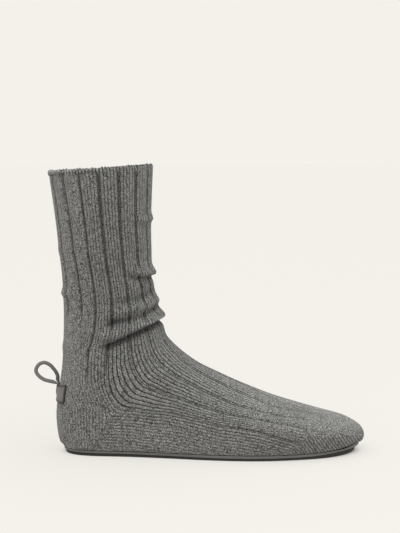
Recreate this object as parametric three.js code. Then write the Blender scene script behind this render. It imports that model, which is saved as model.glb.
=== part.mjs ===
// Sock shoe: a ribbed knit sock on a thin two-layer sole, with a leather tab and pull loop at the heel.
// It is the right shoe. +X points to the toe, +Y to the inner side of the foot and +Z up, in millimetres.
import * as THREE from 'three';
import { mergeVertices } from 'three/addons/utils/BufferGeometryUtils.js';

// Driving sizes of the upper
const shoeLength = 257;      // back of the heel to the tip of the toe, over the knit
const ballWidth = 92;        // across the knit at the ball of the foot
const heelWidth = 62;        // across the knit at the heel
const ankleWidth = 57;       // across the knit at the ankle
const instepHeight = 84;     // floor to the top of the foot, just ahead of the ankle
const shaftHeight = 154;     // from that height up to the front of the collar
const shaftDepth = 86;       // front to back at the collar
const shaftWidth = 78;       // side to side at the collar
const collarDrop = 5;        // how far the collar is lower at the back than at the front
const knitWall = 2.6;        // thickness of the knit
const foldHeight = 3;        // how far the deepest slouch fold at the ankle stands out
const foldFade = 0.4;        // a fold fades out over this share of its length, at each end
const endRounding = 8;       // a higher number keeps the fuller shape over the sole closer to its two ends

// Driving sizes of the sole
const heelTuck = 5;          // the knit hangs over the sole by this much at the heel
const toeTuck = 7.5;         // and by this much at the toe
const sideTuck = 2.5;        // and by this much at each side of the ball
const outsoleThickness = 2;
const midsoleThickness = 2;
const insoleThickness = 2.8;
const outsoleInset = 1.5;    // the outsole is set in from the midsole's edge by this much
const featherInset = 1;      // the knit meets the midsole this far in from its edge
const toeSpring = 3.2;       // lift of the sole at the toe
const springLength = 58;     // length of the sole that lifts

// Driving sizes of the heel tab and its loop
const tabWidth = 42;         // side to side, straight across
const tabHeight = 12.6;      // at the back of the heel
const tabSideRise = 3.2;     // its upper edge climbs by this much to each side
const tabThickness = 1;
const tabBottom = 42.6;      // floor to the tab's lower edge
const loopThickness = 3.1;   // the round part of the loop
const loopReach = 18;        // the loop's centre line stands behind the knit by this much
const loopRise = 18;         // and above the tab by this much
const tailThickness = 0.7;   // the loop's flat ends, which lie behind the tab
const tailWidth = 4.4;
const tailLength = 5;
const bulgeHalf = 7;         // the tab bulges over them up to this far from its middle
const bulgeFade = 2.2;       // and the bulge dies away over this much

// Pieces that meet are this far apart
const clearance = 0.3;
const facetRoom = 0.05;      // and the flat ends of the loop by this much more, as their faces are flat

// How finely the curved pieces are divided
const crownColumns = 11;     // from the top of a section to its widest point
const tuckColumns = 7;       // from there to the sole or the back of the heel
const soleStations = 30;     // cuts across each layer of the sole
const tabColumns = 18;
const tabRows = 6;
const loopSides = 8;
const loopSteps = 40;
const searchSteps = 30;      // to find a point on the knit's back

// Levels that follow from the thicknesses
const midsoleBottom = outsoleThickness + clearance;
const midsoleTop = midsoleBottom + midsoleThickness;
const featherLevel = midsoleTop + clearance;
const soleLength = shoeLength - heelTuck - toeTuck;
const tabTop = tabBottom + tabHeight;
const soleWidth = ballWidth - 2 * sideTuck;

// Outline of the midsole from heel to toe. A turn of 0 is the heel end and 1 is the toe end.
// The centre line swings from side to side, and the half width is multiplied by the sine of the turn.
const outlineTable = [
  { turn: 0.00, centre: 0.000 * soleWidth, half: 0.960 * heelWidth },
  { turn: 0.10, centre: 0.000 * soleWidth, half: 0.870 * heelWidth },
  { turn: 0.20, centre: -0.002 * soleWidth, half: 0.690 * heelWidth },
  { turn: 0.30, centre: -0.012 * soleWidth, half: 0.545 * heelWidth },
  { turn: 0.40, centre: -0.052 * soleWidth, half: 0.357 * soleWidth },
  { turn: 0.50, centre: -0.062 * soleWidth, half: 0.420 * soleWidth },
  { turn: 0.60, centre: -0.034 * soleWidth, half: 0.512 * soleWidth },
  { turn: 0.70, centre: 0.010 * soleWidth, half: 0.590 * soleWidth },
  { turn: 0.80, centre: 0.022 * soleWidth, half: 0.650 * soleWidth },
  { turn: 0.90, centre: 0.034 * soleWidth, half: 0.675 * soleWidth },
  { turn: 1.00, centre: 0.042 * soleWidth, half: 0.680 * soleWidth },
];

// Sections of the toe, from its foremost point to the toe end of the sole. These are closed rings,
// each in a plane through its top and bottom point. Ridge moves the top point to the inner side, widest
// is how far down the section is widest, crown and tuck round the parts above and below that, and
// rings is the number of rings up to the next section.
const toeTable = [
  { name: 'toe tip', topX: 1.0000 * shoeLength, topZ: 0.146 * instepHeight,
    bottomX: 1.000 * shoeLength, bottomZ: 0.146 * instepHeight,
    half: 0.000 * ballWidth, ridge: 0.000 * ballWidth, widest: 0.50, crown: 2.00, tuck: 2.0, rings: 2 },
  { name: 'toe front', topX: 0.9975 * shoeLength, topZ: 0.194 * instepHeight,
    bottomX: 0.9945 * shoeLength, bottomZ: 0.116 * instepHeight,
    half: 0.103 * ballWidth, ridge: 0.000 * ballWidth, widest: 0.50, crown: 2.00, tuck: 2.0, rings: 2 },
  { name: 'toe round', topX: 0.9880 * shoeLength, topZ: 0.239 * instepHeight,
    bottomX: 0.9825 * shoeLength, bottomZ: 0.100 * instepHeight,
    half: 0.179 * ballWidth, ridge: 0.002 * ballWidth, widest: 0.51, crown: 2.00, tuck: 2.0, rings: 2 },
];

// Sections over the foot, from the toe end of the sole to the heel. These are open underneath: each
// ends on the sole's outline at its turn.
const footTable = [
  { name: 'toe end', topX: 0.9740 * shoeLength, topZ: 0.270 * instepHeight, turn: 1.000,
    half: 0.238 * ballWidth, ridge: 0.004 * ballWidth, widest: 0.53, crown: 2.02, tuck: 2.0, rings: 2 },
  { name: 'toe cap', topX: 0.9560 * shoeLength, topZ: 0.302 * instepHeight, turn: 0.915,
    half: 0.303 * ballWidth, ridge: 0.008 * ballWidth, widest: 0.55, crown: 2.05, tuck: 2.0, rings: 2 },
  { name: 'toes', topX: 0.9340 * shoeLength, topZ: 0.331 * instepHeight, turn: 0.845,
    half: 0.364 * ballWidth, ridge: 0.014 * ballWidth, widest: 0.57, crown: 2.10, tuck: 2.0, rings: 2 },
  { name: 'toe joints', topX: 0.909 * shoeLength, topZ: 0.353 * instepHeight, turn: 0.770,
    half: 0.428 * ballWidth, ridge: 0.022 * ballWidth, widest: 0.58, crown: 2.10, tuck: 2.0, rings: 2 },
  { name: 'ball front', topX: 0.856 * shoeLength, topZ: 0.396 * instepHeight, turn: 0.700,
    half: 0.482 * ballWidth, ridge: 0.036 * ballWidth, widest: 0.58, crown: 2.05, tuck: 2.0, rings: 2 },
  { name: 'ball', topX: 0.788 * shoeLength, topZ: 0.461 * instepHeight, turn: 0.635,
    half: 0.502 * ballWidth, ridge: 0.050 * ballWidth, widest: 0.58, crown: 1.95, tuck: 2.0, rings: 2 },
  { name: 'ball back', topX: 0.713 * shoeLength, topZ: 0.537 * instepHeight, turn: 0.570,
    half: 0.483 * ballWidth, ridge: 0.062 * ballWidth, widest: 0.58, crown: 1.88, tuck: 2.0, rings: 2 },
  { name: 'fore instep', topX: 0.634 * shoeLength, topZ: 0.632 * instepHeight, turn: 0.505,
    half: 0.438 * ballWidth, ridge: 0.070 * ballWidth, widest: 0.58, crown: 1.86, tuck: 2.0, rings: 2 },
  { name: 'instep', topX: 0.556 * shoeLength, topZ: 0.734 * instepHeight, turn: 0.440,
    half: 0.398 * ballWidth, ridge: 0.068 * ballWidth, widest: 0.58, crown: 1.88, tuck: 2.0, rings: 2 },
  { name: 'waist', topX: 0.486 * shoeLength, topZ: 0.842 * instepHeight, turn: 0.365,
    half: 0.367 * ballWidth, ridge: 0.056 * ballWidth, widest: 0.57, crown: 1.92, tuck: 2.0, rings: 2 },
  { name: 'heel front', topX: 0.432 * shoeLength, topZ: 0.950 * instepHeight, turn: 0.280,
    half: 0.520 * heelWidth, ridge: 0.040 * ballWidth, widest: 0.56, crown: 1.98, tuck: 2.15, rings: 2 },
  { name: 'heel middle', topX: 0.3945 * shoeLength, topZ: 1.045 * instepHeight, turn: 0.190,
    half: 0.505 * heelWidth, ridge: 0.026 * ballWidth, widest: 0.55, crown: 2.03, tuck: 2.3, rings: 2 },
  { name: 'heel back', topX: 0.3650 * shoeLength, topZ: 1.140 * instepHeight, turn: 0.100,
    half: 0.500 * heelWidth, ridge: 0.014 * ballWidth, widest: 0.53, crown: 2.08, tuck: 2.4, rings: 2 },
];

// Sections from the heel end up the shaft to the collar. These are closed: they end on the back line.
const shaftTable = [
  { name: 'heel end', topX: 1.055 * shaftDepth, topZ: 0.118 * shaftHeight,
    backX: heelTuck + featherInset, backZ: featherLevel,
    half: 0.500 * heelWidth, ridge: 0.006 * ballWidth, widest: 0.52, crown: 2.10, tuck: 2.4, rings: 2 },
  { name: 'heel low', topX: 1.036 * shaftDepth, topZ: 0.159 * shaftHeight,
    backX: 0.024 * shaftDepth, backZ: 0.125 * instepHeight,
    half: 0.500 * heelWidth, ridge: 0, widest: 0.51, crown: 2.10, tuck: 2.4, rings: 2 },
  { name: 'heel round', topX: 1.022 * shaftDepth, topZ: 0.189 * shaftHeight,
    backX: -0.002 * shaftDepth, backZ: 0.360 * instepHeight,
    half: 0.500 * heelWidth, ridge: 0, widest: 0.50, crown: 2.10, tuck: 2.35, rings: 3 },
  { name: 'heel high', topX: 1.004 * shaftDepth, topZ: 0.224 * shaftHeight,
    backX: 0.022 * shaftDepth, backZ: 0.600 * instepHeight,
    half: 0.494 * heelWidth, ridge: 0, widest: 0.50, crown: 2.10, tuck: 2.3, rings: 4 },
  { name: 'ankle back', topX: 0.982 * shaftDepth, topZ: 0.268 * shaftHeight,
    backX: 0.061 * shaftDepth, backZ: 0.900 * instepHeight,
    half: 0.508 * ankleWidth, ridge: 0, widest: 0.50, crown: 2.10, tuck: 2.2, rings: 4 },
  { name: 'ankle', topX: 0.955 * shaftDepth, topZ: 0.334 * shaftHeight,
    backX: 0.077 * shaftDepth, backZ: 0.197 * shaftHeight + instepHeight,
    half: 0.498 * ankleWidth, ridge: 0, widest: 0.50, crown: 2.10, tuck: 2.15, rings: 6 },
  { name: 'ankle top', topX: 0.932 * shaftDepth, topZ: 0.423 * shaftHeight,
    backX: 0.066 * shaftDepth, backZ: 0.394 * shaftHeight + instepHeight,
    half: 0.520 * ankleWidth, ridge: 0, widest: 0.50, crown: 2.10, tuck: 2.1, rings: 6 },
  { name: 'calf low', topX: 0.924 * shaftDepth, topZ: 0.551 * shaftHeight,
    backX: 0.038 * shaftDepth, backZ: 0.544 * shaftHeight + instepHeight,
    half: 0.430 * shaftWidth, ridge: 0, widest: 0.50, crown: 2.08, tuck: 2.1, rings: 4 },
  { name: 'calf', topX: 0.922 * shaftDepth, topZ: 0.728 * shaftHeight,
    backX: 0.006 * shaftDepth, backZ: 0.713 * shaftHeight + instepHeight,
    half: 0.472 * shaftWidth, ridge: 0, widest: 0.50, crown: 2.05, tuck: 2.05, rings: 4 },
  { name: 'collar', topX: 0.942 * shaftDepth, topZ: 1.000 * shaftHeight,
    backX: -0.056 * shaftDepth, backZ: shaftHeight + instepHeight - collarDrop,
    half: 0.500 * shaftWidth, ridge: 0, widest: 0.50, crown: 2.00, tuck: 2.0, rings: 1 },
];

// Slouch folds of the knit, seen from the side. Each is a soft ridge, or a trough where rise is negative,
// along a line from its front end to its back end. Side is -1 outside, 1 inside and 0 for both.
const foldTable = [
  { name: 'main fold', side: 0, frontX: 1.052 * shaftDepth, frontZ: 0.200 * shaftHeight,
    backX: 0.500 * shaftDepth, backZ: 0.061 * shaftHeight, rise: 1.0, reach: 0.033 * shaftHeight },
  { name: 'crease under it', side: 0, frontX: 1.030 * shaftDepth, frontZ: 0.169 * shaftHeight,
    backX: 0.520 * shaftDepth, backZ: 0.012 * shaftHeight, rise: -0.4, reach: 0.026 * shaftHeight },
  { name: 'trough over it', side: -1, frontX: 0.920 * shaftDepth, frontZ: 0.231 * shaftHeight,
    backX: 0.500 * shaftDepth, backZ: 0.126 * shaftHeight, rise: -0.45, reach: 0.026 * shaftHeight },
  { name: 'upper fold', side: 0, frontX: 0.990 * shaftDepth, frontZ: 0.285 * shaftHeight,
    backX: 0.560 * shaftDepth, backZ: 0.231 * shaftHeight, rise: 0.5, reach: 0.030 * shaftHeight },
  { name: 'front fold', side: 0, frontX: 0.975 * shaftDepth, frontZ: 0.435 * shaftHeight,
    backX: 0.760 * shaftDepth, backZ: 0.423 * shaftHeight, rise: 1.15, reach: 0.019 * shaftHeight },
  { name: 'high front fold', side: 0, frontX: 0.930 * shaftDepth, frontZ: 0.715 * shaftHeight,
    backX: 0.760 * shaftDepth, backZ: 0.710 * shaftHeight, rise: 0.5, reach: 0.020 * shaftHeight },
  { name: 'back fold', side: 0, frontX: 0.230 * shaftDepth, frontZ: 0.325 * shaftHeight,
    backX: 0.040 * shaftDepth, backZ: 0.317 * shaftHeight, rise: 0.55, reach: 0.022 * shaftHeight },
];

// Centre line of the loop from its tail on the inner side, up, back and down to its tail on the outer
// side. Back and up are measured from the knit and from the top of the tab.
const loopTable = [
  { back: 0.020 * loopReach, up: 0.190 * loopRise, side: 1.00 },
  { back: 0.030 * loopReach, up: 0.390 * loopRise, side: 1.00 },
  { back: 0.140 * loopReach, up: 0.620 * loopRise, side: 0.80 },
  { back: 0.350 * loopReach, up: 0.880 * loopRise, side: 0.50 },
  { back: 0.600 * loopReach, up: 1.010 * loopRise, side: 0.20 },
  { back: 0.830 * loopReach, up: 0.955 * loopRise, side: 0.00 },
  { back: 0.980 * loopReach, up: 0.770 * loopRise, side: -0.20 },
  { back: 0.990 * loopReach, up: 0.580 * loopRise, side: -0.40 },
  { back: 0.840 * loopReach, up: 0.380 * loopRise, side: -0.60 },
  { back: 0.620 * loopReach, up: 0.240 * loopRise, side: -0.80 },
  { back: 0.400 * loopReach, up: 0.180 * loopRise, side: -1.00 },
  { back: 0.200 * loopReach, up: 0.135 * loopRise, side: -1.00 },
];

// Colours read from the daylight look of each material
const knitMaterial = new THREE.MeshStandardMaterial({ color: 0x6b6b68, roughness: 0.95, metalness: 0 });
const leatherMaterial = new THREE.MeshStandardMaterial({ color: 0x4c4a47, roughness: 0.6, metalness: 0 });
const edgeMaterial = new THREE.MeshStandardMaterial({ color: 0x6f6e6b, roughness: 0.5, metalness: 0 });
const rubberMaterial = new THREE.MeshStandardMaterial({ color: 0x232323, roughness: 0.8, metalness: 0 });
const footbedMaterial = new THREE.MeshStandardMaterial({ color: 0x55534f, roughness: 0.9, metalness: 0 });

// A step from 0 to 1 with soft ends
const smooth = (value) => {
  const t = THREE.MathUtils.clamp(value, 0, 1);
  return t * t * (3 - 2 * t);
};

// A distance in rows that starts slowly, so that rings close smoothly where they begin or turn a corner
const eased = (rows) => (rows < 1 ? rows * rows * (2 - rows) : rows);

// A smooth curve through one or more columns of a table, by row number or by a named column
function curveThrough(rows, keys, place) {
  const places = rows.map((row, index) => (place ? row[place] : index));
  const values = rows.flatMap((row) => keys.map((key) => row[key]));
  const curve = new THREE.CubicInterpolant(places, values, keys.length, new Array(keys.length));
  return (at) => {
    const found = curve.evaluate(at);
    return Object.fromEntries(keys.map((key, index) => [key, found[index]]));
  };
}

// Lift of the sole at a distance from the back of the heel
function springAt(x) {
  const start = heelTuck + soleLength - springLength;
  const share = Math.max(0, (x - start) / springLength);
  return toeSpring * share * share;
}

// A point pair on the midsole's outline, moved in by an inset that stays even round both ends
const outlineAt = curveThrough(outlineTable, ['centre', 'half'], 'turn');
function soleOutline(turn, inset) {
  const { centre, half } = outlineAt(turn);
  const angle = Math.PI * turn;
  const x = heelTuck + inset + (soleLength - 2 * inset) * (1 - Math.cos(angle)) / 2;
  const endInset = inset * (soleLength / (4 * half) + half / soleLength);
  const evenInset = THREE.MathUtils.lerp(endInset, inset, Math.sin(angle) ** 2);
  return { x, centre, width: (half - evenInset) * Math.sin(angle) };
}

// All sections in one list. The toe's rings close under the toe and the shaft's on the back line.
const toeEnd = soleOutline(1, featherInset).x;
const underToe = [...toeTable, { bottomX: toeEnd, bottomZ: featherLevel + springAt(toeEnd) }];
const shaftSections = shaftTable.map((row) => ({ ...row, topZ: row.topZ + instepHeight }));
const sections = [...toeTable, ...footTable, ...shaftSections];
const toeSection = toeTable.length;
const heelSection = toeSection + footTable.length;
const formAt = curveThrough(sections, ['topX', 'topZ', 'half', 'ridge', 'widest', 'crown', 'tuck']);
const underToeAt = curveThrough(underToe, ['bottomX', 'bottomZ']);
const turnAt = curveThrough([...footTable, { turn: 0 }], ['turn']);
const backLineAt = curveThrough(shaftSections, ['backX', 'backZ']);

// The form of one section of the upper, at any place between the toe tip (0) and the collar
function sectionAt(place) {
  const form = formAt(place);
  if (place >= heelSection) {
    const { backX, backZ } = backLineAt(eased(place - heelSection));
    return { ...form, bottomX: backX, bottomZ: backZ, centre: 0, foot: 0, blend: 1 };
  }
  if (place <= toeSection) {
    const under = underToeAt(toeSection - eased(toeSection - place));
    return { ...form, ...under, centre: outlineAt(1).centre, foot: 0, blend: 1 };
  }
  const { turn } = turnAt(place - toeSection);
  const sole = soleOutline(THREE.MathUtils.clamp(turn, 0, 1), featherInset);
  return {
    ...form, bottomX: sole.x, bottomZ: featherLevel + springAt(sole.x),
    centre: sole.centre, foot: sole.width, blend: 1 + Math.cos(Math.PI * turn) ** endRounding,
  };
}

// A point of the knit's outside: round goes from -1 at the outer side of the sole over the top to 1
const crownShare = crownColumns / (crownColumns + tuckColumns);
function knitPoint(section, round) {
  const side = Math.sign(round);
  const away = Math.abs(round);
  const { topX, topZ, bottomX, bottomZ, centre, foot, half, ridge, widest, crown, tuck, blend } = section;
  let down = 0;
  let y = 0;
  if (away <= crownShare) {
    const angle = away / crownShare * Math.PI / 2;
    const reach = Math.sin(angle) ** (2 / crown);
    down = widest * (1 - Math.max(0, Math.cos(angle)) ** (2 / crown));
    y = centre + ridge * (1 - reach) + side * half * reach;
  } else {
    const angle = (away - crownShare) / (1 - crownShare) * Math.PI / 2;
    const reach = Math.max(0, Math.cos(angle)) ** (2 / tuck);
    down = widest + (1 - widest) * Math.sin(angle) ** (2 / tuck);
    y = centre + side * THREE.MathUtils.lerp(foot ** blend, half ** blend, reach ** blend) ** (1 / blend);
  }
  return new THREE.Vector3(topX + (bottomX - topX) * down, y, topZ + (bottomZ - topZ) * down);
}

// How far the folds push a point of the knit out or in
function foldAt(point) {
  let push = 0;
  for (const fold of foldTable) {
    const onSide = fold.side === 0 ? 1 : smooth(0.5 + fold.side * point.y / (heelWidth / 4));
    const line = new THREE.Vector2(fold.backX - fold.frontX, fold.backZ - fold.frontZ);
    const from = new THREE.Vector2(point.x - fold.frontX, point.z - instepHeight - fold.frontZ);
    const along = from.dot(line) / line.lengthSq();
    const off = Math.abs(from.cross(line)) / line.length();
    const ends = smooth(1 + along / foldFade) * smooth(0.5 + (1 - along) / foldFade);
    push += foldHeight * fold.rise * onSide * ends * Math.exp(-((off / fold.reach) ** 2));
  }
  return push;
}

// A closed body from points and triangles: equal points are joined and empty triangles dropped
function closedBody(points, triangles) {
  const flat = new THREE.BufferGeometry();
  flat.setAttribute('position', new THREE.Float32BufferAttribute(points.flatMap((p) => p.toArray()), 3));
  flat.setIndex(triangles.flat());
  const joined = mergeVertices(flat, 1e-3);
  const index = joined.getIndex().array;
  const kept = [];
  for (let at = 0; at < index.length; at += 3) {
    const [a, b, c] = index.slice(at, at + 3);
    if (a !== b && b !== c && c !== a) kept.push(a, b, c);
  }
  joined.setIndex(kept);
  joined.computeVertexNormals();
  return joined;
}

// Normals of a grid of points, shared where points of the grid lie on each other
function gridNormals(grid) {
  const key = (p) => p.toArray().map((value) => Math.round(value * 1000)).join();
  const sums = new Map();
  const add = (p, normal) => {
    const sum = sums.get(key(p)) ?? new THREE.Vector3();
    sums.set(key(p), sum.add(normal));
  };
  const rows = grid.length - 1;
  const columns = grid[0].length - 1;
  for (let i = 0; i < rows; i += 1) {
    for (let j = 0; j < columns; j += 1) {
      const across = grid[i + 1][j + 1].clone().sub(grid[i][j]);
      const back = grid[i + 1][j].clone().sub(grid[i][j + 1]);
      const normal = across.cross(back);
      for (const p of [grid[i][j], grid[i + 1][j], grid[i + 1][j + 1], grid[i][j + 1]]) add(p, normal);
    }
  }
  return grid.map((row) => row.map((p) => sums.get(key(p)).clone().normalize()));
}

// The upper: one hollow wall, open at the collar and inside the feather line
function makeUpper() {
  const places = [];
  sections.slice(0, -1).forEach((section, index) => {
    for (let step = 0; step < section.rings; step += 1) places.push(index + step / section.rings);
  });
  places.push(sections.length - 1);
  const columns = 2 * (crownColumns + tuckColumns);
  const form = places.map((place) => {
    const section = sectionAt(place);
    return Array.from({ length: columns + 1 }, (_, column) => knitPoint(section, 2 * column / columns - 1));
  });
  const normals = gridNormals(form);
  const outer = form.map((ring, i) => ring.map((p, j) => (
    p.clone().addScaledVector(normals[i][j], foldAt(p)))));
  const inner = form.map((ring, i) => ring.map((p, j) => {
    const level = featherLevel + springAt(p.x);
    const flatten = smooth(1 - (p.z - level) / (2 * knitWall));
    const inward = normals[i][j].clone();
    inward.z *= 1 - flatten;
    return p.clone().addScaledVector(inward.normalize(), -knitWall);
  }));
  inner[inner.length - 1].forEach((p, j) => { p.z = outer[outer.length - 1][j].z; });

  const points = [...outer.flat(), ...inner.flat()];
  const width = columns + 1;
  const innerStart = outer.length * width;
  const triangles = [];
  const quad = (a, b, c, d) => triangles.push([a, c, b], [a, d, c]);
  for (let i = 0; i < outer.length - 1; i += 1) {
    for (let j = 0; j < columns; j += 1) {
      const at = i * width + j;
      quad(at, at + width, at + width + 1, at + 1);
      quad(innerStart + at, innerStart + at + 1, innerStart + at + width + 1, innerStart + at + width);
    }
    if (places[i] >= toeSection && places[i] < heelSection) {
      const left = i * width;
      const right = left + columns;
      quad(left, innerStart + left, innerStart + left + width, left + width);
      quad(right, right + width, innerStart + right + width, innerStart + right);
    }
  }
  const rim = (outer.length - 1) * width;
  for (let j = 0; j < columns; j += 1) {
    quad(rim + j, innerStart + rim + j, innerStart + rim + j + 1, rim + j + 1);
  }
  return closedBody(points, triangles);
}

// A layer of the sole between two levels, bent up at the toe
function makeSoleLayer(inset, bottom, thickness) {
  const points = [];
  const triangles = [];
  const quad = (a, b, c, d) => triangles.push([a, b, c], [a, c, d]);
  for (let station = 0; station <= soleStations; station += 1) {
    const { x, centre, width } = soleOutline(station / soleStations, inset);
    for (const [side, level] of [[-1, 0], [1, 0], [1, 1], [-1, 1]]) {
      const z = bottom + level * thickness + springAt(x);
      points.push(new THREE.Vector3(x, centre + side * width, z));
    }
  }
  for (let station = 0; station < soleStations; station += 1) {
    const at = 4 * station;
    for (let edge = 0; edge < 4; edge += 1) {
      const next = (edge + 1) % 4;
      quad(at + edge, at + next, at + 4 + next, at + 4 + edge);
    }
  }
  return closedBody(points, triangles);
}

// The point of the knit's back at a given distance from the centre plane and height, by Newton's method
function backOfKnit(y, z) {
  let place = sections.findIndex((section) => section.name === 'heel high');
  let round = 1 - Math.abs(y) / (5 * heelWidth);
  const side = y < 0 ? -1 : 1;
  const find = (at, turn) => knitPoint(sectionAt(at), side * Math.min(turn, 1));
  const small = 1e-3;
  const wanted = Math.max(Math.abs(y), small);
  for (let step = 0; step < searchSteps; step += 1) {
    const p = find(place, round);
    const overPlace = find(place + small, round).sub(p).divideScalar(small);
    const overRound = find(place, round - small).sub(p).divideScalar(-small);
    const missY = side * wanted - p.y;
    const missZ = z - p.z;
    const scale = overPlace.y * overRound.z - overPlace.z * overRound.y;
    place += (missY * overRound.z - missZ * overRound.y) / scale;
    round = Math.min(1 - small, round + (overPlace.y * missZ - overPlace.z * missY) / scale);
  }
  return find(place, round);
}

// How far the tab stands off the knit to make room for the loop's flat ends
function tailRoom(y, z) {
  const across = smooth((bulgeHalf - Math.abs(y)) / bulgeFade);
  const down = smooth((z - (tabTop - tailLength - tailWidth)) / tailWidth);
  return (tailThickness + clearance) * across * down;
}

// The heel tab: a patch cut from the knit's own form, with room for the loop's ends behind it
function makeHeelTab() {
  const skin = Array.from({ length: tabRows + 1 }, (_, row) => (
    Array.from({ length: tabColumns + 1 }, (__, column) => {
      const side = 2 * column / tabColumns - 1;
      const height = tabHeight + tabSideRise * side * side;
      return backOfKnit(side * tabWidth / 2, tabBottom + height * row / tabRows);
    })));
  const normals = gridNormals(skin).map((row) => row.map((normal) => {
    const outward = normal.x > 0 ? normal.negate() : normal;
    outward.z = 0;
    return outward.normalize();
  }));
  const lift = (extra) => skin.map((row, i) => row.map((p, j) => (
    p.clone().addScaledVector(normals[i][j], clearance + tailRoom(p.y, p.z) + extra))));
  const near = lift(0);
  const far = lift(tabThickness);
  const points = [...near.flat(), ...far.flat()];
  const width = tabColumns + 1;
  const farStart = (tabRows + 1) * width;
  const triangles = [];
  const quad = (a, b, c, d) => triangles.push([a, b, c], [a, c, d]);
  for (let i = 0; i < tabRows; i += 1) {
    for (let j = 0; j < tabColumns; j += 1) {
      const at = i * width + j;
      quad(at, at + 1, at + width + 1, at + width);
      quad(farStart + at, farStart + at + width, farStart + at + width + 1, farStart + at + 1);
    }
  }
  for (let j = 0; j < tabColumns; j += 1) {
    const top = tabRows * width + j;
    quad(j, farStart + j, farStart + j + 1, j + 1);
    quad(top, top + 1, farStart + top + 1, farStart + top);
  }
  for (let i = 0; i < tabRows; i += 1) {
    const left = i * width;
    const right = left + tabColumns;
    quad(left, left + width, farStart + left + width, farStart + left);
    quad(right, farStart + right, farStart + right + width, right + width);
  }
  return closedBody(points, triangles);
}

// The pull loop: round where it stands free, flat where its ends lie between the knit and the tab
function makePullLoop() {
  const radius = loopThickness / 2;
  const strandSide = tailWidth / 2 + clearance;
  const stops = [];
  const tail = (side, share) => {
    const y = side * strandSide;
    const z = tabTop - tailLength + share * (tailLength + clearance);
    const skin = backOfKnit(y, z);
    const x = skin.x - clearance - facetRoom - tailThickness / 2;
    return { x, y, z, wide: tailWidth / 2, thick: tailThickness / 2 };
  };
  stops.push(tail(1, 0), tail(1, 0.5), tail(1, 1));
  for (const row of loopTable) {
    const skin = backOfKnit(row.side * strandSide, tabTop + clearance + radius);
    stops.push({
      x: skin.x - clearance - radius - row.back, y: row.side * strandSide, z: tabTop + row.up,
      wide: radius, thick: radius,
    });
  }
  stops.push(tail(-1, 1), tail(-1, 0.5), tail(-1, 0));
  const stopAt = curveThrough(stops, ['x', 'y', 'z', 'wide', 'thick']);
  const centreAt = (at) => {
    const { x, y, z } = stopAt(at);
    return new THREE.Vector3(x, y, z);
  };
  const last = stops.length - 1;
  const glance = 0.05;
  const points = [];
  const triangles = [];
  for (let step = 0; step <= loopSteps; step += 1) {
    const at = last * step / loopSteps;
    const { wide, thick } = stopAt(at);
    const centre = centreAt(at);
    const before = centreAt(Math.max(0, at - glance));
    const ahead = centreAt(Math.min(last, at + glance)).sub(before).normalize();
    const across = new THREE.Vector3(0, 1, 0).addScaledVector(ahead, -ahead.y).normalize();
    const out = ahead.clone().cross(across);
    for (let corner = 0; corner < loopSides; corner += 1) {
      const angle = 2 * Math.PI * corner / loopSides;
      points.push(centre.clone()
        .addScaledVector(across, wide * Math.cos(angle))
        .addScaledVector(out, thick * Math.sin(angle)));
    }
  }
  for (let step = 0; step < loopSteps; step += 1) {
    for (let corner = 0; corner < loopSides; corner += 1) {
      const next = (corner + 1) % loopSides;
      const at = step * loopSides;
      triangles.push([at + corner, at + next, at + loopSides + next]);
      triangles.push([at + corner, at + loopSides + next, at + loopSides + corner]);
    }
  }
  const end = loopSteps * loopSides;
  for (let corner = 1; corner < loopSides - 1; corner += 1) {
    triangles.push([0, corner + 1, corner], [end, end + corner, end + corner + 1]);
  }
  return closedBody(points, triangles);
}

// The shoe as a group of named pieces
const shoe = new THREE.Group();
function addPiece(name, geometry, material) {
  const piece = new THREE.Mesh(geometry, material);
  piece.name = name;
  shoe.add(piece);
}
addPiece('upper', makeUpper(), knitMaterial);
addPiece('outsole', makeSoleLayer(outsoleInset, 0, outsoleThickness), rubberMaterial);
addPiece('midsole', makeSoleLayer(0, midsoleBottom, midsoleThickness), edgeMaterial);
addPiece('insole', makeSoleLayer(featherInset + knitWall + 2 * clearance, featherLevel, insoleThickness),
  footbedMaterial);
addPiece('heel_tab', makeHeelTab(), leatherMaterial);
addPiece('pull_loop', makePullLoop(), leatherMaterial);

// The origin is on the floor, in the middle of the shoe's length and width
const bounds = new THREE.Box3().setFromObject(shoe);
const middle = bounds.getCenter(new THREE.Vector3());
shoe.position.set(-middle.x, -middle.y, 0);
const part = new THREE.Group();
part.add(shoe);

export default part;
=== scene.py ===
# Sock shoe: a marled rib knit on a thin two-layer sole, with a leather tab and a pull loop at the heel.
# The knit follows the same sections as the solid. Lengths are in millimetres from the back of the heel.
import math

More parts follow.
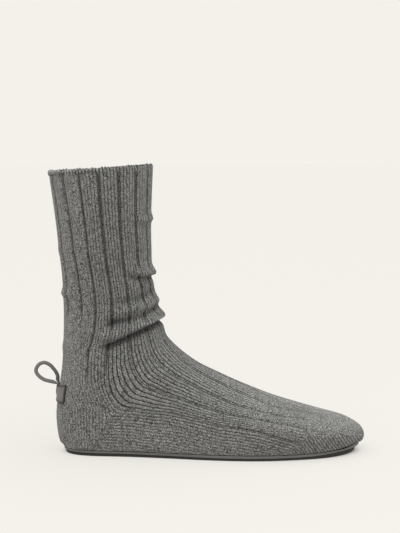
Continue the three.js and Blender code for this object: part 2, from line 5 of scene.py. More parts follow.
import bmesh
import bpy
import numpy as np
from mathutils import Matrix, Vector


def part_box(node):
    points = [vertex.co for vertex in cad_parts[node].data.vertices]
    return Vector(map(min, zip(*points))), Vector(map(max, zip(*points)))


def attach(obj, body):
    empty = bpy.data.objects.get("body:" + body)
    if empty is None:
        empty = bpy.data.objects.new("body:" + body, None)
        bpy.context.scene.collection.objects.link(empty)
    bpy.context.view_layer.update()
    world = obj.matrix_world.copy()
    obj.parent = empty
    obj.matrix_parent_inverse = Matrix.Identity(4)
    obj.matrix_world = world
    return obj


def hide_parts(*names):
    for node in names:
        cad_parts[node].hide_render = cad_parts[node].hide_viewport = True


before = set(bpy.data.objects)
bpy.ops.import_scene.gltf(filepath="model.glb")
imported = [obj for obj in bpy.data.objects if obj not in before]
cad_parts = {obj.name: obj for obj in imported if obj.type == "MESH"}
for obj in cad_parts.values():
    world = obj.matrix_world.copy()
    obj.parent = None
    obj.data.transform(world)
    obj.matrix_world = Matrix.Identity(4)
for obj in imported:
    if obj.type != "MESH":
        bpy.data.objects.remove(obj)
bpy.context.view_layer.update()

shoe = {
    "shoeLength": 257.0,
    "ballWidth": 92.0,
    "heelWidth": 62.0,
    "ankleWidth": 57.0,
    "instepHeight": 84.0,
    "shaftHeight": 154.0,
    "shaftDepth": 86.0,
    "shaftWidth": 78.0,
    "collarDrop": 5.0,
    "heelTuck": 5.0,
    "toeTuck": 7.5,
    "soleWidth": 87.0,
    "featherInset": 1.0,
    "featherLevel": 4.6,
    "toeSpring": 2.3,
    "springLength": 58.0,
    "endRounding": 8,
}
length, ball, heel, ankle = (shoe[k] for k in ("shoeLength", "ballWidth", "heelWidth", "ankleWidth"))
instep, shaft, depth, calf = (shoe[k] for k in ("instepHeight", "shaftHeight", "shaftDepth", "shaftWidth"))
soleWidth, heelTuck, feather = (shoe[k] for k in ("soleWidth", "heelTuck", "featherLevel"))
featherInset = shoe["featherInset"]
soleLength = length - heelTuck - shoe["toeTuck"]

# The solid's origin is under the middle of the shoe, and the tab lies evenly round its centre plane
tabLow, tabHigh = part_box("heel_tab")
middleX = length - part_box("upper")[1].x * 1000
middleY = -(tabLow.y + tabHigh.y) / 2 * 1000

# Outline of the sole: turn, centre line, half width before the sine of the turn
outlineRows = [
    (0.00, 0, 0.960 * heel),
    (0.10, 0, 0.870 * heel),
    (0.20, -0.002 * soleWidth, 0.690 * heel),
    (0.30, -0.012 * soleWidth, 0.545 * heel),
    (0.40, -0.052 * soleWidth, 0.357 * soleWidth),
    (0.50, -0.062 * soleWidth, 0.420 * soleWidth),
    (0.60, -0.034 * soleWidth, 0.512 * soleWidth),
    (0.70, 0.010 * soleWidth, 0.590 * soleWidth),
    (0.80, 0.022 * soleWidth, 0.650 * soleWidth),
    (0.90, 0.034 * soleWidth, 0.675 * soleWidth),
    (1.00, 0.042 * soleWidth, 0.680 * soleWidth),
]

# Toe rings: top x and z, bottom x and z, half width, ridge shift, widest, crown, tuck
toeRows = [
    (length, 0.146 * instep, length, 0.146 * instep, 0, 0, 0.50, 2, 2),
    (0.9975 * length, 0.194 * instep, 0.9945 * length, 0.107 * instep, 0.103 * ball, 0, 0.50, 2, 2),
    (0.988 * length, 0.239 * instep, 0.985 * length, 0.083 * instep, 0.179 * ball, 0.002 * ball, 0.51, 2, 2),
]

# Sections over the foot: top x and z, turn on the sole, half width, ridge shift, widest, crown, tuck
footRows = [
    (0.974 * length, 0.270 * instep, 1.000, 0.238 * ball, 0.004 * ball, 0.53, 2.02, 2),
    (0.956 * length, 0.302 * instep, 0.915, 0.303 * ball, 0.008 * ball, 0.55, 2.05, 2),
    (0.934 * length, 0.331 * instep, 0.845, 0.364 * ball, 0.014 * ball, 0.57, 2.10, 2),
    (0.909 * length, 0.353 * instep, 0.770, 0.428 * ball, 0.022 * ball, 0.58, 2.10, 2),
    (0.856 * length, 0.396 * instep, 0.700, 0.482 * ball, 0.036 * ball, 0.58, 2.05, 2),
    (0.788 * length, 0.461 * instep, 0.635, 0.502 * ball, 0.050 * ball, 0.58, 1.95, 2),
    (0.713 * length, 0.537 * instep, 0.570, 0.483 * ball, 0.062 * ball, 0.58, 1.88, 2),
    (0.634 * length, 0.632 * instep, 0.505, 0.438 * ball, 0.070 * ball, 0.58, 1.86, 2),
    (0.556 * length, 0.734 * instep, 0.440, 0.398 * ball, 0.068 * ball, 0.58, 1.88, 2),
    (0.486 * length, 0.842 * instep, 0.365, 0.367 * ball, 0.056 * ball, 0.57, 1.92, 2),
    (0.432 * length, 0.950 * instep, 0.280, 0.520 * heel, 0.040 * ball, 0.56, 1.98, 2.15),
    (0.3945 * length, 1.045 * instep, 0.190, 0.505 * heel, 0.026 * ball, 0.55, 2.03, 2.3),
    (0.365 * length, 1.140 * instep, 0.100, 0.500 * heel, 0.014 * ball, 0.53, 2.08, 2.4),
]

# Sections up the shaft: top x and z, back x and z, half width, ridge shift, widest, crown, tuck
shaftRows = [
    (1.055 * depth, 0.118 * shaft, heelTuck + featherInset, feather, heel / 2, 0.006 * ball, 0.52, 2.10, 2.4),
    (1.036 * depth, 0.159 * shaft, 0.024 * depth, 0.125 * instep, heel / 2, 0, 0.51, 2.10, 2.4),
    (1.022 * depth, 0.189 * shaft, -0.002 * depth, 0.360 * instep, heel / 2, 0, 0.50, 2.10, 2.35),
    (1.004 * depth, 0.224 * shaft, 0.022 * depth, 0.600 * instep, 0.494 * heel, 0, 0.50, 2.10, 2.3),
    (0.982 * depth, 0.268 * shaft, 0.061 * depth, 0.900 * instep, 0.508 * ankle, 0, 0.50, 2.10, 2.2),
    (0.955 * depth, 0.334 * shaft, 0.077 * depth, 0.197 * shaft + instep, 0.498 * ankle, 0, 0.50, 2.10, 2.15),
    (0.932 * depth, 0.423 * shaft, 0.066 * depth, 0.394 * shaft + instep, 0.520 * ankle, 0, 0.50, 2.10, 2.1),
    (0.924 * depth, 0.551 * shaft, 0.038 * depth, 0.544 * shaft + instep, 0.430 * calf, 0, 0.50, 2.08, 2.1),
    (0.922 * depth, 0.728 * shaft, 0.006 * depth, 0.713 * shaft + instep, 0.472 * calf, 0, 0.50, 2.05, 2.05),
    (0.942 * depth, shaft, -0.056 * depth, shaft + instep - shoe["collarDrop"], calf / 2, 0, 0.50, 2.00, 2.0),
]
toeSection = len(toeRows)
heelSection = toeSection + len(footRows)
collarSection = heelSection + len(shaftRows) - 1
shaftSection = 20   # courses are counted from here, and all the wales over it are the shaft's


def smooth(value):
    t = np.clip(value, 0, 1)
    return t * t * (3 - 2 * t)


# Goes from low to high over a run from the start. A negative run looks back from the start.
def ramp(value, start, run, low=0.0, high=1.0):
    return low + (high - low) * smooth((value - start) / run)


# A smooth curve through the rows of a table, held at both ends
def curveThrough(places, rows):
    places, rows = [float(p) for p in places], np.array(rows, float)
    last = len(places) - 1

    def at(where):
        where = min(max(where, places[0]), places[-1])
        i = min(max(int(np.searchsorted(places, where, side="right")), 1), last)
        before, after = places[i - 1], places[i]
        farBefore, rowBefore = (places[i - 2], i - 2) if i > 1 else (after, i)
        farAfter, rowAfter = (places[i + 1], i + 1) if i < last else (before, i - 1)
        b = (after - before) / 2 / (before - farBefore)
        a = (after - before) / 2 / (farAfter - after)
        p = (where - before) / (after - before)
        return (
            rows[rowBefore] * (-b * p**3 + 2 * b * p**2 - b * p)
            + rows[i - 1] * ((1 + b) * p**3 - (1.5 + 2 * b) * p**2 + (b - 0.5) * p + 1)
            + rows[i] * ((-1 - a) * p**3 + (1.5 + a) * p**2 + 0.5 * p)
            + rows[rowAfter] * (a * p**3 - a * p**2)
        )

    return at


# The same through rows that are numbered from 0
def curveOver(rows):
    return curveThrough(range(len(rows)), rows)


def springAt(x):
    share = np.maximum(0, (x - heelTuck - soleLength + shoe["springLength"]) / shoe["springLength"])
    return shoe["toeSpring"] * share * share


outlineAt = curveThrough([r[0] for r in outlineRows], [r[1:] for r in outlineRows])


# x, centre and half width of the sole's outline, moved in by an inset that stays even round the ends
def soleOutline(turn, inset):
    centre, half = outlineAt(turn)
    x = heelTuck + inset + (soleLength - 2 * inset) * (1 - math.cos(math.pi * turn)) / 2
    endInset = inset * (soleLength / (4 * half) + half / soleLength)
    evenInset = endInset + (inset - endInset) * math.sin(math.pi * turn) ** 2
    return x, centre, (half - evenInset) * math.sin(math.pi * turn)


toeEnd = soleOutline(1, featherInset)[0]
formRows = [(r[0], r[1], *r[4:]) for r in toeRows] + [(r[0], r[1], *r[3:]) for r in footRows]
formRows += [(r[0], r[1] + instep, *r[4:]) for r in shaftRows]
formAt = curveOver(formRows)
underToeAt = curveOver([(r[2], r[3]) for r in toeRows] + [(toeEnd, feather + springAt(toeEnd))])
turnAt = curveOver([(r[2],) for r in footRows] + [(0,)])
backLineAt = curveOver([(r[2], r[3]) for r in shaftRows])


def eased(rows):
    return rows * rows * (2 - rows) if rows < 1 else rows


def sectionAt(where):
    form = tuple(formAt(where))
    if where >= heelSection:
        return (*form, *backLineAt(eased(where - heelSection)), 0.0, 0.0, 1.0)
    if where <= toeSection:
        under = underToeAt(toeSection - eased(toeSection - where))
        return (*form, *under, outlineAt(1)[0], 0.0, 1.0)
    turn = float(turnAt(where - toeSection)[0])
    x, centre, width = soleOutline(min(max(turn, 0), 1), featherInset)
    return (*form, x, feather + springAt(x), centre, width, 1 + math.cos(math.pi * turn) ** shoe["endRounding"])


# Points of a section. An angle is 0 on the top line and 180 at the sole or the back, negative outside.
def ringPoints(section, angles):
    topX, topZ, half, ridge, widest, crown, tuck, bottomX, bottomZ, centre, foot, blend = section
    angles = np.asarray(angles, float)
    side, away = np.sign(angles), np.radians(np.abs(angles))
    isCrown = away <= math.pi / 2
    over = np.where(isCrown, away, 0)
    reach = np.sin(over) ** (2 / crown)
    crownDown = widest * (1 - np.maximum(0, np.cos(over)) ** (2 / crown))
    crownY = centre + ridge * (1 - reach) + side * half * reach
    under = np.where(isCrown, 0, away - math.pi / 2)
    inward = np.maximum(0, np.cos(under)) ** (2 / tuck)
    tuckDown = widest + (1 - widest) * np.sin(under) ** (2 / tuck)
    width = np.maximum(0, foot**blend + (half**blend - foot**blend) * inward**blend) ** (1 / blend)
    tuckY = centre + side * width
    down = np.where(isCrown, crownDown, tuckDown)
    y = np.where(isCrown, crownY, tuckY)
    return np.stack([topX + (bottomX - topX) * down, y, topZ + (bottomZ - topZ) * down], -1)


# One socket of a material. Sums and products of these add their Math nodes.
class Tone:
    def __init__(self, tree, socket=None):
        self.tree = tree
        self.socket = socket

    def node(self, kind, settings=None, inputs=None, output=0):
        made = self.tree.nodes.new(kind)
        for name, value in (settings or {}).items():
            setattr(made, name, value)
        for name, value in (inputs or {}).items():
            if isinstance(value, Tone):
                self.tree.links.new(value.socket, made.inputs[name])
            else:
                made.inputs[name].default_value = value
        return Tone(self.tree, made.outputs[output])

    def output(self, name):
        return Tone(self.tree, self.socket.node.outputs[name])

    def math(self, operation, *others):
        return self.node("ShaderNodeMath", {"operation": operation}, dict(enumerate((self, *others))))

    def __add__(self, other):
        return self.math("ADD", other)

    def __sub__(self, other):
        return self.math("SUBTRACT", other)

    def __rsub__(self, other):
        return self.node("ShaderNodeMath", {"operation": "SUBTRACT"}, {0: other, 1: self})

    def __mul__(self, other):
        return self.math("MULTIPLY", other)

    def __truediv__(self, other):
        return self.math("DIVIDE", other)

    def __pow__(self, other):
        return self.math("POWER", other)

    __radd__ = __add__
    __rmul__ = __mul__

    # A soft step that is 0 at low and 1 at high
    def step(self, low, high):
        settings = {"interpolation_type": "SMOOTHSTEP"}
        return self.node("ShaderNodeMapRange", settings, {"Value": self, "From Min": low, "From Max": high})

    # Between two colours, by this share; the colour sockets of a Mix node are 6 and 7, and 2 is its result
    def mix(self, first, second):
        return self.node("ShaderNodeMix", {"data_type": "RGBA"}, {0: self, 6: first, 7: second}, output=2)

    # A colour made lighter or darker by a number
    def times(self, amount):
        grey = self.node("ShaderNodeCombineXYZ", None, {0: amount, 1: amount, 2: amount})
        return self.node("ShaderNodeVectorMath", {"operation": "MULTIPLY"}, {0: self, 1: grey})

    def noise(self, scale, detail=2.0, roughness=0.5):
        settings = {"noise_dimensions": "3D"}
        inputs = {"Vector": self, "Scale": scale, "Detail": detail, "Roughness": roughness}
        return self.node("ShaderNodeTexNoise", settings, inputs)

    def bump(self, strength, distance):
        return self.node("ShaderNodeBump", None, {"Height": self, "Strength": strength, "Distance": distance})


def startMaterial(name):
    material = bpy.data.materials.new(name)
    material.use_nodes = True
    return material, Tone(material.node_tree)


def setSurface(material, constants, varying):
    shader = material.node_tree.nodes["Principled BSDF"]
    for name, value in constants.items():
        shader.inputs[name].default_value = value
    for name, value in varying.items():
        material.node_tree.links.new(value.socket, shader.inputs[name])


# A flat unit grid to bend into a piece
def newGrid(columns, rows):
    bm = bmesh.new()
    bmesh.ops.create_grid(bm, x_segments=columns, y_segments=rows, size=0.5)
    return bm


# Rounds the sharp edges of a sheet that was given its thickness, by an offset in millimetres
def roundRims(bm, offset):
    bmesh.ops.recalc_face_normals(bm, faces=bm.faces)
    rims = [edge for edge in bm.edges if len(edge.link_faces) == 2 and edge.calc_face_angle(0) > 1.0]
    bmesh.ops.bevel(bm, geom=rims, offset=offset / 1000, offset_type="OFFSET", segments=3, profile=0.5,
                    affect="EDGES", material=-1, clamp_overlap=True)


def finishPiece(name, bm, material, slot, *nodes):
    bmesh.ops.recalc_face_normals(bm, faces=bm.faces)
    mesh = bpy.data.meshes.new(name)
    bm.to_mesh(mesh)
    bm.free()
    mesh.materials.append(material)
    mesh.polygons.foreach_set("use_smooth", [True] * len(mesh.polygons))
    piece = bpy.data.objects.new(name, mesh)
    bpy.context.scene.collection.objects.link(piece)
    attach(piece, "root")
    if nodes:
        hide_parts(*nodes)
    print(name, "is made with", len(mesh.polygons), "faces")


def place(point):
    return Vector(((point[0] - middleX) / 1000, (point[1] - middleY) / 1000, point[2] / 1000))


# The camera of the photograph
view = {"x": 119.6, "y": -1100.0, "z": 245.0, "down": 4.74, "lens": 90.0, "sensor": 36.0}
lens = bpy.data.cameras.new("studioCamera")
lens.lens = view["lens"]
lens.sensor_width = view["sensor"]
lens.clip_start = 0.05
lens.clip_end = 60
camera = bpy.data.objects.new("studioCamera", lens)
camera.location = place((view["x"], view["y"], view["z"]))
camera.rotation_euler = (math.radians(90 - view["down"]), 0, 0)
bpy.context.scene.collection.objects.link(camera)
bpy.context.scene.camera = camera

# The knit. Ribs are counted round the shaft from the back: rib 3 starts on the outer side, 11 on the inner.
knit = {
    "wall": 2.6,
    "rimDrop": 0.8,           # under the top of the collar's beads
    "ribs": 16,
    "walesPerRib": 6,
    "waleWidth": 2.63,        # round the heel
    "soleWaleWidth": 2.5,     # along the side of the sole
    "courseHeight": 1.95,
    "toeWaleWidth": 2.34,
    "toeTopWaleWidth": 2.15,
    "toeHatchAngle": 74,      # the slanting wales lie under this angle
    "toeHatchEnd": 7.5,       # and before this section, sooner by one for so many degrees off the sole
    "toeHatchLean": 300,
    "toeSlant": 56.0,         # of the wales low on the toe cap, in degrees
    "grooveDepth": 1.5,       # on the shaft
    "footGrooveDepth": 0.9,
    "grooveHalf": 0.085,      # as a share of a rib, on the shaft
    "footGrooveHalf": 0.060,
    "ribSwell": 0.55,
    "footSwell": 0.35,        # how much ribs swell on the foot, to the shaft's 1
    "footStrength": 0.74,     # how much painted shade the furrows get there
    "borderStrength": 0.35,   # how clearly the furrow over the heel and sole shows low down
    "bendLoss": 0.4,          # how much of the others is lost round the bend of the foot
    "sideContrast": 0.34,     # how clearly wales show by the sole, in their painted shade and relief
    "edgeContrast": 0.5,      # and how much more next to the furrow over it
    "edgeReach": 5,           # within so many wales
    "insideShade": (0.4, 0.0, 1.0),   # how much of the painted shade of furrows, creases and wales shows inside
    "pinchDepth": 0.6,        # how far furrows are drawn in where a fold closes
    "pinchHalf": 0.16,
    "columns": 256,
    "rowsBetween": [3, 3, 3, 3, 4, 4, 7, 9, 10, 11, 11, 10, 9, 8, 8, 8, 5, 16, 24, 27, 20, 18, 13, 14, 20],
    "innerEvery": 3,          # rows of the inner wall
    "innerRelief": 0.35,      # how much of the ribs, of a fold that stands out and of its hang it follows
    "innerFold": 0.5,
    "innerFall": 0.6,
}
outerEdgeWale, topWale, innerEdgeWale = (knit["walesPerRib"] * rib for rib in (3, 7, 11))

# Where parts of the pattern grow in: start and run, and the values that they go between
spans = {
    "toeCap": (7.4, -2.4),               # by section
    "footFurrows": (6.9, 0.9),
    "toeContrast": (5.0, 3.0, 0.25, 1.0),
    "footContrast": (8.5, 4.5, 0.30, 0.95),
    "bend": (11.5, 2.0),
    "shaftFurrows": (17.5, 2.5),
    "shaftContrast": (18.6, 1.4),
    "shaftWales": (19.4, 1.5),
    "heelFurrows": (52.0, 14.0),         # by height
    "lowBorder": (64.0, 14.0),
    "ankleContrast": (96.0, 14.0),
    "ankleFurrows": (100.0, 24.0),
    "borderAhead": (112.0, 40.0),        # by x
    "topOfFoot": (50.0, -16.0, 0.0, 0.45),   # by angle
    "toeHatch": (69.0, 15.0, 0.0, 0.70),
    "frontOfShaft": (118.0, -30.0, 0.26, 0.74),
    "underToe": (180.0, -20.0),
}

# Angles of the furrows between ribs on the outer side, by section: furrows 1, 2, 3, 4, 5, 6 and 7
furrowRows = [
    (25.0, -135.0, -112.5, -90.0, -67.5, -45.0, -22.5, 0.0),
    (23.8, -130.0, -108.7, -88.3, -67.3, -45.0, -22.0, 0.0),
    (22.5, -127.0, -106.5, -87.0, -66.3, -44.0, -21.0, 0.5),
    (21.0, -122.5, -103.0, -84.8, -64.5, -41.0, -18.0, 2.0),
    (19.4, -129.0, -108.0, -89.0, -65.0, -42.0, -18.0, 1.0),
    (17.4, -129.0, -109.0, -90.5, -66.0, -43.0, -18.5, 0.0),
    (15.0, -131.0, -111.0, -91.0, -66.5, -44.0, -20.0, -2.0),
    (13.0, -131.0, -109.0, -86.6, -66.0, -46.0, -24.0, -3.0),
    (11.2, -131.0, -107.0, -83.5, -66.6, -49.0, -27.5, -5.0),
    (10.0, -131.0, -107.0, -83.0, -65.0, -50.5, -30.0, -9.0),
    (8.8, -131.0, -107.0, -83.5, -61.5, -47.7, -32.0, -19.0),
    (7.6, -131.0, -107.0, -95.0, -61.0, -41.5, -25.0, -15.5),
    (0.0, -135.0, -112.0, -90.0, -62.0, -41.0, -22.0, -13.0),
]
furrowAt = curveThrough([r[0] for r in furrowRows[::-1]], [r[1:] for r in furrowRows[::-1]])

# The furrow that bounds the heel and the side of the sole: first its upright part as z and x, then its
# level part as x and z
uprightEdge = np.array([
    (40.0, 52.0), (44.0, 50.0), (48.5, 47.4), (56.0, 44.8),
    (63.0, 43.2), (76.0, 43.4), (90.0, 44.2), (108.0, 49.0),
])
levelEdge = np.array([
    (40.0, 40.6), (53.0, 40.3), (66.0, 39.6), (80.0, 37.9), (94.0, 37.2), (117.0, 33.1), (135.0, 29.2),
    (152.0, 27.4), (168.0, 24.7), (183.0, 20.2), (194.0, 16.5), (210.0, 12.5), (228.0, 10.5), (257.0, 10.0),
])

# What folds do to the pattern, to the painted shade in their troughs and to the painted highlight on their
# ridges, with the push in millimetres over which each effect grows to its most
effects = {
    "ridgeOver": 2.4,
    "ridgeLoss": 0.5,         # how much of its furrows a ridge stretches out
    "troughOver": 2.0,
    "troughShade": 0.8,
    "lightOver": 3.0,
    "ridgeLight": 0.5,
    "creaseLoss": 0.8,        # how much of its wales a closed crease hides
}

# Slouch folds, seen from the side. The line's points are shares of the shaft's depth and height. In
# millimetres: how far a fold stands out, how far that reaches up and down, and how far it hangs.
usualFold = {
    "hang": 0.0,
    "side": 0,                # -1 outer, 1 inner, 0 both
    "fade": 6.0,              # at the line's far end
    "shade": 1.0,             # how much painted shade a trough gets
    "dark": 0.0,              # painted shade of a crease that closes on itself
    "darkReach": 1.0,
}
folds = [
    {"name": "main fold", "rise": 3.8, "up": 4.8, "down": 2.7, "backDown": 5.2, "hang": 2.0, "fade": 12.0,
     "line": [(1.035, 0.204), (0.934, 0.181), (0.817, 0.162), (0.684, 0.136), (0.550, 0.110), (0.430, 0.083)]},
    {"name": "crease under it", "rise": -3.4, "up": 1.8, "down": 3.8, "fade": 14.0,
     "dark": 1.0, "darkReach": 1.9,
     "line": [(1.040, 0.178), (0.980, 0.163), (0.883, 0.141), (0.749, 0.111), (0.618, 0.080), (0.524, 0.056),
              (0.430, 0.042)]},
    {"name": "trough over it", "rise": -2.7, "up": 3.8, "down": 3.8, "side": -1, "shade": 0.75,
     "line": [(1.000, 0.240), (0.882, 0.210), (0.749, 0.184), (0.620, 0.178), (0.500, 0.158)]},
    {"name": "upper fold", "rise": 2.1, "up": 3.6, "down": 3.6, "hang": 1.0,
     "line": [(1.000, 0.282), (0.942, 0.270), (0.856, 0.250), (0.731, 0.240), (0.604, 0.228)]},
    {"name": "trough over the upper fold", "rise": -1.1, "up": 3.4, "down": 2.6, "side": -1,
     "line": [(0.950, 0.335), (0.841, 0.304), (0.718, 0.285), (0.610, 0.272)]},
    {"name": "front fold", "rise": 3.6, "up": 4.2, "down": 2.0, "hang": 1.6,
     "line": [(1.000, 0.430), (0.920, 0.428), (0.840, 0.434), (0.770, 0.446)]},
    {"name": "crease under the front fold", "rise": -1.3, "up": 1.8, "down": 3.2,
     "line": [(0.960, 0.400), (0.860, 0.404), (0.700, 0.414)]},
    {"name": "high front fold", "rise": 1.9, "up": 3.4, "down": 2.4, "hang": 0.6,
     "line": [(0.950, 0.715), (0.860, 0.712), (0.780, 0.716)]},
    {"name": "back fold", "rise": 1.7, "up": 3.4, "down": 3.0, "hang": 0.6,
     "line": [(0.020, 0.318), (0.120, 0.318), (0.230, 0.326)]},
    {"name": "step over the heel", "rise": 0.7, "up": 4.0, "down": 4.0,
     "line": [(0.050, 0.020), (0.150, 0.030), (0.260, 0.040)]},
    {"name": "hollow of the instep", "rise": -1.3, "up": 9.0, "down": 9.0, "shade": 0.0, "fade": 26.0,
     "line": [(1.080, 0.075), (1.220, 0.000), (1.400, -0.072), (1.560, -0.124)]},
    {"name": "first wave of the shaft", "rise": 0.6, "up": 5.0, "down": 3.6, "hang": 0.3,
     "line": [(0.060, 0.545), (0.450, 0.560), (0.900, 0.575)]},
    {"name": "second wave of the shaft", "rise": 0.7, "up": 5.0, "down": 3.6, "hang": 0.4,
     "line": [(0.250, 0.372), (0.520, 0.350), (0.760, 0.362)]},
    {"name": "inner trough", "rise": -1.6, "up": 3.2, "down": 3.2, "side": 1,
     "line": [(0.950, 0.240), (0.800, 0.200), (0.620, 0.160)]},
]


# How wales turn the corner of the heel, counted in wales from its edge furrow
corner = {
    "leastRound": 0.2,
    "moreRound": 2.8,         # next to the furrow, and less and less until roundUntil
    "roundUntil": 6,
    "uprightFrom": 0.8,
    "leanFrom": 1.4,          # where the line on which upright and level wales meet begins to lean
    "leanOver": 2.4,
    "lean": 0.85,
}


# Wales below and behind the heel's edge furrow. They turn the corner together near the furrow, and further
# on the upright and the level ones meet on a steep line.
def heelWales(points):
    x, y, z = points[..., 0], np.abs(points[..., 1]), points[..., 2]
    behind = np.interp(z, uprightEdge[:, 0], uprightEdge[:, 1]) - x
    centreX = heel / 2
    roundBack = centreX * np.arctan2(np.maximum(0, centreX - x), np.maximum(y, 1e-6))
    behind = behind + np.where(x < centreX, roundBack - np.maximum(0, centreX - x), 0)
    below = np.interp(x, levelEdge[:, 0], levelEdge[:, 1]) - z
    upright, level = behind / knit["waleWidth"], below / knit["soleWaleWidth"]
    larger = np.maximum(upright, level)
    soft = corner["leastRound"] + corner["moreRound"] * smooth(1 - larger / corner["roundUntil"])
    near = np.maximum(0, soft - np.abs(upright - level)) / soft
    turn = soft * near * near / 4
    leaning = 1 + corner["lean"] * smooth((upright - corner["leanFrom"]) / corner["leanOver"])
    isLevel = level > upright * leaning
    wales = np.where(isLevel, level, np.where(upright > corner["uprightFrom"], upright, larger)) + turn
    courses = np.where(isLevel, behind, below) / knit["courseHeight"]
    return larger + turn, wales, courses, isLevel


# Slanting wales low on the toe cap, and how much they hold
def toeWales(points):
    x, z = points[..., 0], points[..., 2]
    slant = math.radians(knit["toeSlant"])
    wales = (x * math.sin(slant) + z * math.cos(slant)) / knit["toeWaleWidth"]
    courses = (x * math.cos(slant) - z * math.sin(slant)) / knit["courseHeight"]
    return wales, courses


# Wale numbers round one ring, counted from the back
def ringWales(where, angles, points):
    furrows = furrowAt(where)
    wales = np.zeros(len(angles))
    perRib = knit["walesPerRib"]
    edges = []
    for side in (-1, 1):
        on = angles * side >= 0
        away = np.abs(angles[on])
        outer = np.abs(furrows[:3])
        byAngle = np.interp(away, [0, outer[2], outer[1], outer[0], (outer[0] + 180) / 2, 180],
                            [-outer[2] / 4, 0, perRib, 2 * perRib, 3 * perRib, 4 * perRib])
        byPlace = heelWales(points[on])[0]
        share = ramp(where, *spans["shaftWales"])
        beyond = byPlace + (byAngle - byPlace) * share
        order = np.argsort(away)
        sortedAway, sortedBeyond = away[order], beyond[order]
        inside = np.where(sortedBeyond > 0)[0]
        first = next((k for k in inside if sortedAway[k] > 40), None)
        if first is None:
            edge = 180.0
        else:
            a, b = sortedBeyond[first - 1], sortedBeyond[first]
            crossing = min(max(-a / (b - a + 1e-9), 0), 1)
            edge = sortedAway[first - 1] + (sortedAway[first] - sortedAway[first - 1]) * crossing
        edges.append(edge)
        wales[on] = side * np.where(away >= edge, np.maximum(beyond, 0), 0)
    outerEdge, innerEdge = -edges[0], edges[1]
    top = furrows[6]
    shrink = outerEdge / furrows[2]
    known = [outerEdge, furrows[3] * shrink, furrows[4] * shrink, furrows[5] * shrink, top]
    known += [top + (innerEdge - top) * k / 4 for k in (1, 2, 3, 4)]
    between = np.interp(angles, known, [perRib * k for k in range(3, 12)])
    beyond = np.where(angles <= outerEdge, outerEdgeWale, innerEdgeWale) + wales
    wales = np.where((angles <= outerEdge) | (angles >= innerEdge), beyond, between)
    return wales, (angles > outerEdge) & (angles < innerEdge)


# How far the folds push points out, how far down, the push that sets their effects on the pattern and their
# painted shade and highlight, and the painted shade of creases that close
def foldPush(points):
    out, fall, shade, dark = (np.zeros(points.shape[:-1]) for _ in range(4))
    flat = points[..., [0, 2]]
    for given in folds:
        fold = {**usualFold, "backDown": given["down"], **given}
        line = np.array([(x * depth, z * shaft + instep) for x, z in fold["line"]])
        best = np.full(out.shape, 1e9)
        signed, backward = np.zeros(out.shape), np.zeros(out.shape)
        for k, (start, end) in enumerate(zip(line[:-1], line[1:])):
            along = end - start
            share = np.clip(((flat - start) @ along) / (along @ along), 0, 1)
            gap = flat - (start + share[..., None] * along)
            distance = np.hypot(gap[..., 0], gap[..., 1])
            nearer = distance < best
            best = np.where(nearer, distance, best)
            signed = np.where(nearer, np.sign(gap[..., 1]) * distance, signed)
            backward = np.where(nearer, (k + share) / (len(line) - 1), backward)
        down = fold["down"] + (fold["backDown"] - fold["down"]) * backward
        reach = np.where(signed > 0, fold["up"], down)
        profile = np.exp(-((best / reach) ** 2))
        last = line[-1] - line[-2]
        toEnd = (line[-1] - flat) @ (last / np.linalg.norm(last))
        profile = profile * smooth((toEnd + 2) / fold["fade"])
        dark += fold["dark"] * np.exp(-((best / fold["darkReach"]) ** 2)) * smooth((toEnd - 2) / 4)
        if fold["side"]:
            profile = profile * smooth(0.5 + fold["side"] * points[..., 1] / 16)
        out += fold["rise"] * profile
        fall += fold["hang"] * profile
        shade += fold["rise"] * profile * fold["shade"]
    return out, fall, shade, dark


def gridNormals(points, closedRows):
    across = points[1:, 1:] - points[:-1, :-1]
    back = points[1:, :-1] - points[:-1, 1:]
    faces = np.cross(across, back)
    normals = np.zeros(points.shape)
    for rows, cols in ((slice(0, -1), slice(0, -1)), (slice(1, None), slice(0, -1)),
                       (slice(0, -1), slice(1, None)), (slice(1, None), slice(1, None))):
        normals[rows, cols] += faces
    seam = normals[closedRows, 0] + normals[closedRows, -1]
    normals[closedRows, 0] = seam
    normals[closedRows, -1] = seam
    normals[0] = normals[0].sum(0)
    return normals / np.maximum(np.linalg.norm(normals, axis=-1, keepdims=True), 1e-9)


